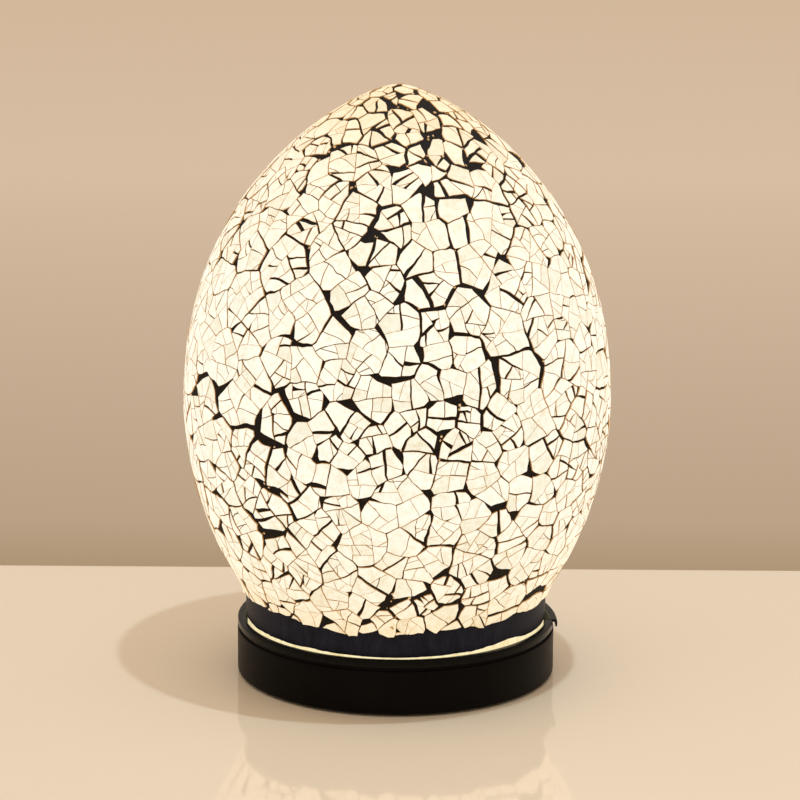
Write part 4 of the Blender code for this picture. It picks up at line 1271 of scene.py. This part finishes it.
def cup_mesh(look):
    edge = look.edge
    corners = [
        (CUP_INNER, CUP_FOOT, 0.0003),
        (CUP_RADIUS, CUP_FOOT, edge),
        (CUP_RADIUS, SHOULDER, edge),
        (LIP_OUTER, SHOULDER, 0.0002),
        (LIP_OUTER, CUP_TOP, 0.0003),
        (CUP_INNER, CUP_TOP, 0.0003),
        (CUP_INNER, DECK_TOP, 0.0010),
        (TUBE_HOLE, DECK_TOP, 0.0002),
        (TUBE_HOLE, DECK_FOOT, 0.0002),
        (CUP_INNER, DECK_FOOT, 0.0006),
    ]
    cup = spun(rounded(corners, 5), 192)
    for x, y, _ in screw_places(0):
        boss = moved(peg(BOSS_RADIUS, PLATE_TOP + FIT, DECK_TOP - FIT), Matrix.Translation((x, y, 0)))
        cup = carved(cup, boss, "UNION")
        hole = moved(peg(SCREW_HOLE, PLATE_FOOT, PLATE_FOOT + BOSS_DEPTH), Matrix.Translation((x, y, 0)))
        cup = carved(cup, hole)
    return carved(cup, rearward(peg(CORD_HOLE, CUP_INNER - 0.003, CUP_RADIUS + 0.003)))


def strip_mesh(look, sections=288):
    """Edging strip laid round the lip, its last stretch standing off."""
    end, split, arc = math.radians(-6), math.radians(0.8), math.radians(28)
    leg, inner, roof = LIP_OUTER + FIT, CUP_RADIUS - STRIP_REACH, STRIP_TOP - STRIP_ROOF
    corners = [
        (leg, STRIP_FOOT, 0.0002),
        (CUP_RADIUS, STRIP_FOOT, 0.0006),
        (CUP_RADIUS, STRIP_TOP, 0.0009),
        (inner, STRIP_TOP, 0.0004),
        (inner, roof, 0.0002),
        (leg, roof, 0.0001),
    ]
    outline = rounded(corners)
    bm = bmesh.new()
    rings = []
    for i in range(sections + 1):
        turn = (math.tau - split) * i / sections
        angle = end - split - turn
        lift = look.flare * max(0, 1 - (math.tau - split - turn) / arc) ** 2
        out = Vector((math.cos(angle), math.sin(angle), 0))
        wave = 0.00010 * noise.noise(out * 5) - 0.00010
        rings.append([bm.verts.new(out * (r + lift + wave) + Vector((0, 0, z))) for r, z in outline])
    for one, two in zip(rings, rings[1:]):
        for j in range(len(outline)):
            bm.faces.new((one[j - 1], one[j], two[j], two[j - 1]))
    bm.faces.new(rings[0])
    bm.faces.new(rings[-1])
    return closed_mesh(bm)


def plate_mesh():
    corners = [
        (0, PLATE_FOOT, 0),
        (CUP_INNER - FIT, PLATE_FOOT, 0.0006),
        (CUP_INNER - FIT, PLATE_TOP, 0.0003),
        (0, PLATE_TOP, 0),
    ]
    plate = turned(corners, 128)
    for x, y, _ in screw_places(0):
        low, high = PLATE_FOOT - 0.001, PLATE_TOP + 0.001
        hole = [(0, low), (SCREW_SINK, low), (SCREW_SINK, PLATE_FOOT), (SCREW_HOLE, PLATE_FOOT + 0.0014)]
        hole += [(SCREW_HOLE, high), (0, high)]
        plate = carved(plate, moved(spun(hole, 32), Matrix.Translation((x, y, 0))))
    return plate


def plate_screw_mesh():
    """Countersunk screw, head down, with a cross recess."""
    outline = [(0, 0.0001), (0.0022, 0), (0.0027, 0.0001), (0.0028, 0.0003), (0.0015, 0.0014)]
    for i in range(14):
        outline.append((0.0015 if i % 2 else 0.0012, 0.0019 + 0.00046 * i))
    outline += [(0.0006, 0.0090), (0, 0.0090)]
    screw = spun(outline, 32)
    for turn in (0, math.pi / 2):
        bm = bmesh.new()
        bmesh.ops.create_cube(bm, size=1)
        slot = closed_mesh(bm)
        slot.transform(Matrix.Rotation(turn, 4, "Z") @ Matrix.Diagonal((0.0031, 0.0006, 0.0018, 1)))
        screw = carved(screw, slot)
    return screw


def grommet_mesh():
    bore, waist, flange, thick = 0.0032, 0.0042, 0.0052, 0.0012
    inside = math.sqrt(CUP_INNER**2 - flange**2) - FIT
    outside = CUP_RADIUS + FIT
    corners = [
        (bore, inside - thick, 0.0002),
        (flange, inside - thick, 0.0003),
        (flange, inside, 0.0002),
        (waist, inside, 0.0001),
        (waist, outside, 0.0001),
        (flange, outside, 0.0003),
        (0.0046, outside + thick, 0.0005),
        (bore, outside + thick, 0.0004),
    ]
    return rearward(turned(corners, AROUND_SMALL))


def flat_ring(inner, outer, low, high, edge, steps=AROUND):
    return turned([(inner, low, edge), (outer, low, edge), (outer, high, edge), (inner, high, edge)], steps)


class LAMP_OT_base(bpy.types.Operator):
    """Make the painted cup, the edging strip and what closes the base from below"""

    bl_idname = "egg_lamp.base"
    bl_label = "Base"

    def execute(self, context):
        look = context.scene.egg_base
        rubber = rubber_finish(look)
        steel = metal_finish("zinc_plate", look.steel, 0.34)
        paint = satin_paint_finish("satin_black_paint", look.paint)
        piece("painted_cup", cup_mesh(look), [paint], "base", ["base_cup"])
        piece("edging_strip", strip_mesh(look), [rubber], "base", ["rim_strip"])
        piece("closing_plate", plate_mesh(), [steel], "base", ["base_plate"])
        screws = screws_at(screw_places(PLATE_FOOT), plate_screw_mesh(), 0.7, steel)
        nodes = [f"plate_screw_{i}" for i in (1, 2, 3)]
        piece("plate_screws", screws, [steel], "base", nodes)
        felt = flat_ring(FELT_INNER, FELT_OUTER, 0, FELT_THICK, 0.0003, 192)
        piece("felt_foot", felt, [felt_finish(look)], "base", ["felt_ring"])
        piece("cord_bush", grommet_mesh(), [rubber], "base", ["cord_grommet"])
        low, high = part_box("seat_gasket")
        gasket = flat_ring(high.x - GASKET_WIDTH, high.x, low.z, high.z, 0.0004)
        piece("neck_gasket", gasket, [rubber], "base", ["seat_gasket"])
        return {"FINISHED"}


# -------------------------------------------------------------- lampholder


def wall_rows(radius, low, high, step):
    count = max(2, round((high - low) / step))
    return [(radius, low + (high - low) * i / count) for i in range(count + 1)]


def fluted(shape, look, radius, low, high):
    """Grip flutes pressed into the outer wall between two heights."""
    for vertex in shape.vertices:
        out = math.hypot(vertex.co.x, vertex.co.y)
        if abs(out - radius) < 0.0002 and low < vertex.co.z < high:
            turn = math.atan2(vertex.co.y, vertex.co.x) * look.flutes
            dip = look.flute_depth * max(0, math.cos(turn)) ** 0.7
            vertex.co.x *= 1 - dip / out
            vertex.co.y *= 1 - dip / out
    return shape


def holder_cap_mesh(look):
    low, high = heights("holder_cap")
    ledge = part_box("holder_core")[0].z - FIT
    corners = [
        (TUBE_HOLE, low, 0.0002),
        (0.0110, low, 0.0015),
        (HOLDER_RADIUS, low + 0.0060, 0.0020),
        (HOLDER_RADIUS, low + 0.0075, 0),
        (HOLDER_RADIUS, low + 0.0082, 0),
        (HOLDER_RADIUS, high - 0.0016, 0),
        (HOLDER_RADIUS, high - 0.0010, 0),
        (HOLDER_RADIUS, high, 0.0004),
        (HOLDER_INNER, high, 0.0002),
        (HOLDER_INNER, ledge, 0),
        (LEDGE_INNER, ledge, 0),
        (LEDGE_INNER, low + 0.0060, 0.0010),
        (0.0095, low + 0.0020, 0.0008),
        (TUBE_HOLE, low + 0.0020, 0.0002),
    ]
    return fluted(turned(corners, 288), look, HOLDER_RADIUS, low + 0.0080, high - 0.0014)


def holder_shell_mesh(look):
    low, high = heights("holder_shell")
    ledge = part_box("holder_core")[1].z + FIT
    lip = HOLDER_RADIUS + 0.0012
    corners = [
        (HOLDER_INNER, low, 0.0002),
        (HOLDER_RADIUS, low, 0.0004),
        (HOLDER_RADIUS, low + 0.0010, 0),
        (HOLDER_RADIUS, low + 0.0016, 0),
        (HOLDER_RADIUS, high - 0.0060, 0),
        (HOLDER_RADIUS, high - 0.0054, 0),
        (HOLDER_RADIUS, high - 0.0024, 0.0006),
        (lip, high - 0.0012, 0.0005),
        (lip, high, 0.0005),
        (LEDGE_INNER, high, 0.0006),
        (LEDGE_INNER, ledge, 0),
        (HOLDER_INNER, ledge, 0),
    ]
    return fluted(turned(corners, 288), look, HOLDER_RADIUS, low + 0.0014, high - 0.0056)


def nut_mesh():
    """Hexagon nut with turned-off corners."""
    low, high = heights("tube_nut")
    flat = TUBE_HOLE + 0.0022
    corner = flat / math.cos(math.pi / 6)
    bm = lathe([(0, low), (corner, low), (corner, high), (0, high)], 6)
    cone = [(0, low), (flat, low), (corner, low + 0.0006), (corner, high - 0.0006), (flat, high), (0, high)]
    nut = carved(closed_mesh(bm, math.radians(20)), spun(cone, 96), "INTERSECT")
    return carved(nut, peg(TUBE_HOLE, low - 0.001, high + 0.001, 48))


class LAMP_OT_lampholder(bpy.types.Operator):
    """Make the lampholder, its stem and the fixings under the deck"""

    bl_idname = "egg_lamp.lampholder"
    bl_label = "Lampholder"

    def execute(self, context):
        look = context.scene.egg_holder
        steel = bpy.data.materials["zinc_plate"]
        brass = metal_finish("bright_brass", look.brass, 0.26, tarnish=0.75)
        resin = resin_finish(look)
        thread = thread_tree()
        low, high = heights("threaded_tube")
        tube = lathe(wall_rows(TUBE_RADIUS, low, high, FINE_ROW) + [(TUBE_BORE, high), (TUBE_BORE, low)], 32)
        cut = {"Pitch": TUBE_PITCH, "Depth": TUBE_THREAD, "Low": low, "High": high, "From_Radius": 0.0045}
        tube = grown(closed_mesh(tube), thread, Finish=steel, **cut)
        piece("threaded_stem", tube, [steel], "base", ["threaded_tube"])
        low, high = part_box("tube_washer")
        washer = flat_ring(TUBE_HOLE, high.x, low.z, high.z, 0.0002, 96)
        piece("stem_washer", washer, [steel], "base", ["tube_washer"])
        piece("stem_nut", nut_mesh(), [steel], "base", ["tube_nut"])
        low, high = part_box("stem_spacer")
        spacer = flat_ring(TUBE_HOLE, high.x, low.z, high.z, 0.0003, 96)
        paint = bpy.data.materials["satin_black_paint"]
        piece("stem_sleeve", spacer, [paint], "base", ["stem_spacer"])
        piece("lower_holder", holder_cap_mesh(look), [resin], "base", ["holder_cap"])
        piece("upper_holder", holder_shell_mesh(look), [resin], "base", ["holder_shell"])
        low, high = heights("screw_sleeve")
        floor = low + 0.0006
        foot = [(SLEEVE_INNER, floor), (SLEEVE_HOLE, floor), (SLEEVE_HOLE, low), (SLEEVE_OUTER, low)]
        outside = wall_rows(SLEEVE_OUTER, low + 0.0003, high, THREAD_ROW)
        inside = wall_rows(SLEEVE_INNER, low + 0.0009, high, THREAD_ROW)
        sleeve = spun(outside + inside[::-1] + foot, 96)
        piece("brass_sleeve", sleeve, [brass], "base", ["screw_sleeve"])
        for node in ("centre_contact", "terminal_screw_1", "terminal_screw_2"):
            dress(node, brass)
        dress("holder_core", ceramic_finish(look))
        return {"FINISHED"}


# -------------------------------------------------------------------- bulb


def bulb_profile(inset, rows=28):
    """Pear outline of the bulb, from the neck's lower edge up to its top."""
    neck, widest = BULB_CAP_RADIUS - CAP_WALL - FIT - inset, BULB_RADIUS - inset
    foot, throat, middle = 0.0200, 0.0300, 0.0750
    points = [(neck, BULB_SEAT + foot)]
    for i in range(rows + 1):
        part = i / rows
        swell = (1 - math.cos(math.pi * part)) / 2
        points.append((neck + (widest - neck) * swell, BULB_SEAT + throat + (middle - throat) * part))
    for i in range(1, rows):
        angle = math.pi / 2 * i / rows
        points.append((widest * math.cos(angle), BULB_SEAT + middle + widest * math.sin(angle)))
    return points + [(0, BULB_SEAT + middle + widest)]


def bulb_cap_mesh(look, finish_of):
    low, high = heights("bulb_cap")
    flare = high - CAP_FLARE_HEIGHT
    inner = BULB_CAP_RADIUS - CAP_WALL
    outside = wall_rows(BULB_CAP_RADIUS, low, flare, THREAD_ROW)
    inside = wall_rows(inner, low, flare, THREAD_ROW)
    bm = lathe(outside + [(BULB_CAP_RADIUS + CAP_FLARE, high), (inner + CAP_FLARE, high)] + inside[::-1], 96)
    pressed = {"Pitch": THREAD_PITCH, "Depth": look.thread, "Low": low, "High": flare, "From_Radius": 0.0}
    return grown(closed_mesh(bm), bpy.data.node_groups["Pressed thread"], Finish=finish_of, **pressed)


class LAMP_OT_bulb(bpy.types.Operator):
    """Make the screw-cap bulb"""

    bl_idname = "egg_lamp.bulb"
    bl_label = "Bulb"

    def execute(self, context):
        look = context.scene.egg_bulb
        aluminium = metal_finish("bulb_cap_aluminium", look.aluminium, 0.30)
        cap = bulb_cap_mesh(look, aluminium)
        piece("threaded_cap", cap, [aluminium], "bulb", ["bulb_cap"])
        glass = spun(bulb_profile(0) + bulb_profile(BULB_WALL)[::-1], 96)
        piece("bulb_envelope", glass, [frosted_finish(look)], "bulb", ["bulb_glass"])
        insulator = [
            (0.0033, BULB_SEAT + 0.0021, 0.0001),
            (0.0056, BULB_SEAT + 0.0021, 0.0006),
            (BULB_CAP_RADIUS, BULB_SEAT + 0.0064, 0.0006),
            (BULB_CAP_RADIUS - 0.0008, BULB_SEAT + 0.0064, 0.0001),
            (BULB_CAP_RADIUS - 0.0008, BULB_SEAT + 0.0084, 0.0003),
            (0.0033, BULB_SEAT + 0.0084, 0.0001),
        ]
        resin = bpy.data.materials["moulded_resin"]
        piece("cap_insulator", turned(insulator, 96), [resin], "bulb", ["bulb_insulator"])
        pip = [
            (0, BULB_SEAT, 0),
            (0.0023, BULB_SEAT, 0.0012),
            (0.0046, BULB_SEAT + 0.0009, 0.0006),
            (0.0046, BULB_SEAT + 0.0018, 0.0002),
            (0.0030, BULB_SEAT + 0.0018, 0.0001),
            (0.0030, BULB_SEAT + 0.0041, 0.0001),
            (0, BULB_SEAT + 0.0041, 0),
        ]
        solder = metal_finish("solder_pip", (0.55, 0.54, 0.52), 0.38, (1, 1, 1), 0.6)
        piece("foot_contact", turned(pip, 64), [solder], "bulb_foot", ["bulb_contact"])
        dress("bulb_stem", clear_glass_finish())
        wire = metal_finish("lead_nickel", (0.45, 0.43, 0.40), 0.36)
        for node in ("lead_wire_1", "lead_wire_2"):
            dress(node, wire)
        dress("filament", metal_finish("drawn_tungsten", (0.30, 0.29, 0.28), 0.42, (4, 4, 4)))
        return {"FINISHED"}


# ------------------------------------------------------------------- stage


def floor_finish(look):
    """Pale floor, glossy under the lamp and matt further back, where it stands in for a backdrop with painted
    shade near its front edge.
    """
    made, tree, shader = finish("pale_floor", ior=1.45)
    far = rising(tree, look.floor_end - 0.0006, look.floor_end + 0.0006, "Y")
    cloud = mottle(tree, 3, detail=2)
    near_tone = ramp(tree, cloud, (0.3, scaled(look.floor, 0.97)), (0.7, tuple(look.floor)))
    away = rising(tree, look.floor_end, look.floor_end + 1.6, "Y")
    # Painted shade: the backdrop is darker and warmer just behind where it starts, at the foot of what stands for
    # a wall, and lightens further back
    shaded_foot_tone = tuple(by * part for by, part in zip((0.56, 0.51, 0.42), look.backdrop))
    half_shaded_tone = tuple(by * part for by, part in zip((0.66, 0.62, 0.57), look.backdrop))
    far_tone = ramp(tree, away, (0.0, shaded_foot_tone), (0.06, half_shaded_tone), (0.75, tuple(look.backdrop)))
    tone = blended(tree, "MIX", far, near_tone, far_tone)
    feed(shader, "Base Color", tone)
    feed(shader, "Roughness", spread(tree, far, 0.06, 1.0))
    feed(shader, "Specular IOR Level", spread(tree, far, 0.5, 0.0))
    return made


class LAMP_OT_stage(bpy.types.Operator):
    """Set the pale floor, the soft light and the camera"""

    bl_idname = "egg_lamp.stage"
    bl_label = "Stage"

    def execute(self, context):
        look, scene = context.scene.egg_stage, context.scene
        bm = bmesh.new()
        bmesh.ops.create_grid(bm, x_segments=2, y_segments=2, size=12)
        ground = bpy.data.meshes.new("floor")
        bm.to_mesh(ground)
        bm.free()
        ground.materials.append(floor_finish(look))
        floor = bpy.data.objects.new("floor", ground)
        scene.collection.objects.link(floor)
        key = bpy.data.lights.new("key", "POINT")
        key.energy, key.shadow_soft_size, key.color = look.key, look.key_size, look.key_shade
        lamp = bpy.data.objects.new("key", key)
        lamp.location = look.key_place
        scene.collection.objects.link(lamp)
        world = bpy.data.worlds.new("surround")
        world.use_nodes = True
        tree = world.node_tree
        way = add(tree, "ShaderNodeTexCoord").outputs["Generated"]
        up = add(tree, "ShaderNodeSeparateXYZ", {0: way}).outputs["Z"]
        level, overhead = (scaled(look.soft_shade, strength) for strength in (look.level, look.overhead))
        soft = ramp(tree, up, (0.0, level), (1.0, overhead))
        tree.links.new(soft, tree.nodes["Background"].inputs["Color"])
        scene.world = world
        eye = bpy.data.cameras.new("camera")
        eye.lens, eye.sensor_width, eye.clip_start = look.lens, 36, 0.05
        camera = bpy.data.objects.new("camera", eye)
        turn = Matrix.Rotation(math.pi / 2 - look.pitch, 4, "X") @ Matrix.Rotation(look.roll, 4, "Z")
        away = Vector((0, -math.cos(look.pitch), math.sin(look.pitch))) * look.distance
        camera.matrix_world = Matrix.Translation(Vector(look.aim) + away) @ turn
        scene.collection.objects.link(camera)
        scene.camera = camera
        scene.view_settings.view_transform = "Standard"
        return {"FINISHED"}


class LAMP_PT_panel(bpy.types.Panel):
    """Lists what makes the lamp"""

    bl_idname = "LAMP_PT_panel"
    bl_label = "Mosaic egg lamp"
    bl_space_type = "VIEW_3D"
    bl_region_type = "UI"
    bl_category = "Lamp"

    def draw(self, context):
        for operator, settings in zip(OPERATORS, SETTINGS):
            box = self.layout.box()
            box.operator(operator.bl_idname)
            group = getattr(context.scene, settings)
            for name in group.bl_rna.properties.keys():
                if name not in ("rna_type", "name"):
                    box.prop(group, name)


OPERATORS = (LAMP_OT_mosaic, LAMP_OT_neck, LAMP_OT_base, LAMP_OT_lampholder, LAMP_OT_bulb, LAMP_OT_stage)


def register():
    for each in (*SETTINGS.values(), *OPERATORS, LAMP_PT_panel):
        bpy.utils.register_class(each)
    for name, group in SETTINGS.items():
        setattr(bpy.types.Scene, name, PointerProperty(type=group))


def unregister():
    for name in SETTINGS:
        delattr(bpy.types.Scene, name)
    for each in (LAMP_PT_panel, *OPERATORS, *SETTINGS.values()):
        bpy.utils.unregister_class(each)


def main():
    register()
    bpy.ops.egg_lamp.stage()
    bpy.ops.egg_lamp.mosaic()
    bpy.ops.egg_lamp.neck()
    bpy.ops.egg_lamp.base()
    bpy.ops.egg_lamp.lampholder()
    bpy.ops.egg_lamp.bulb()


if __name__ == "__main__":
    main()
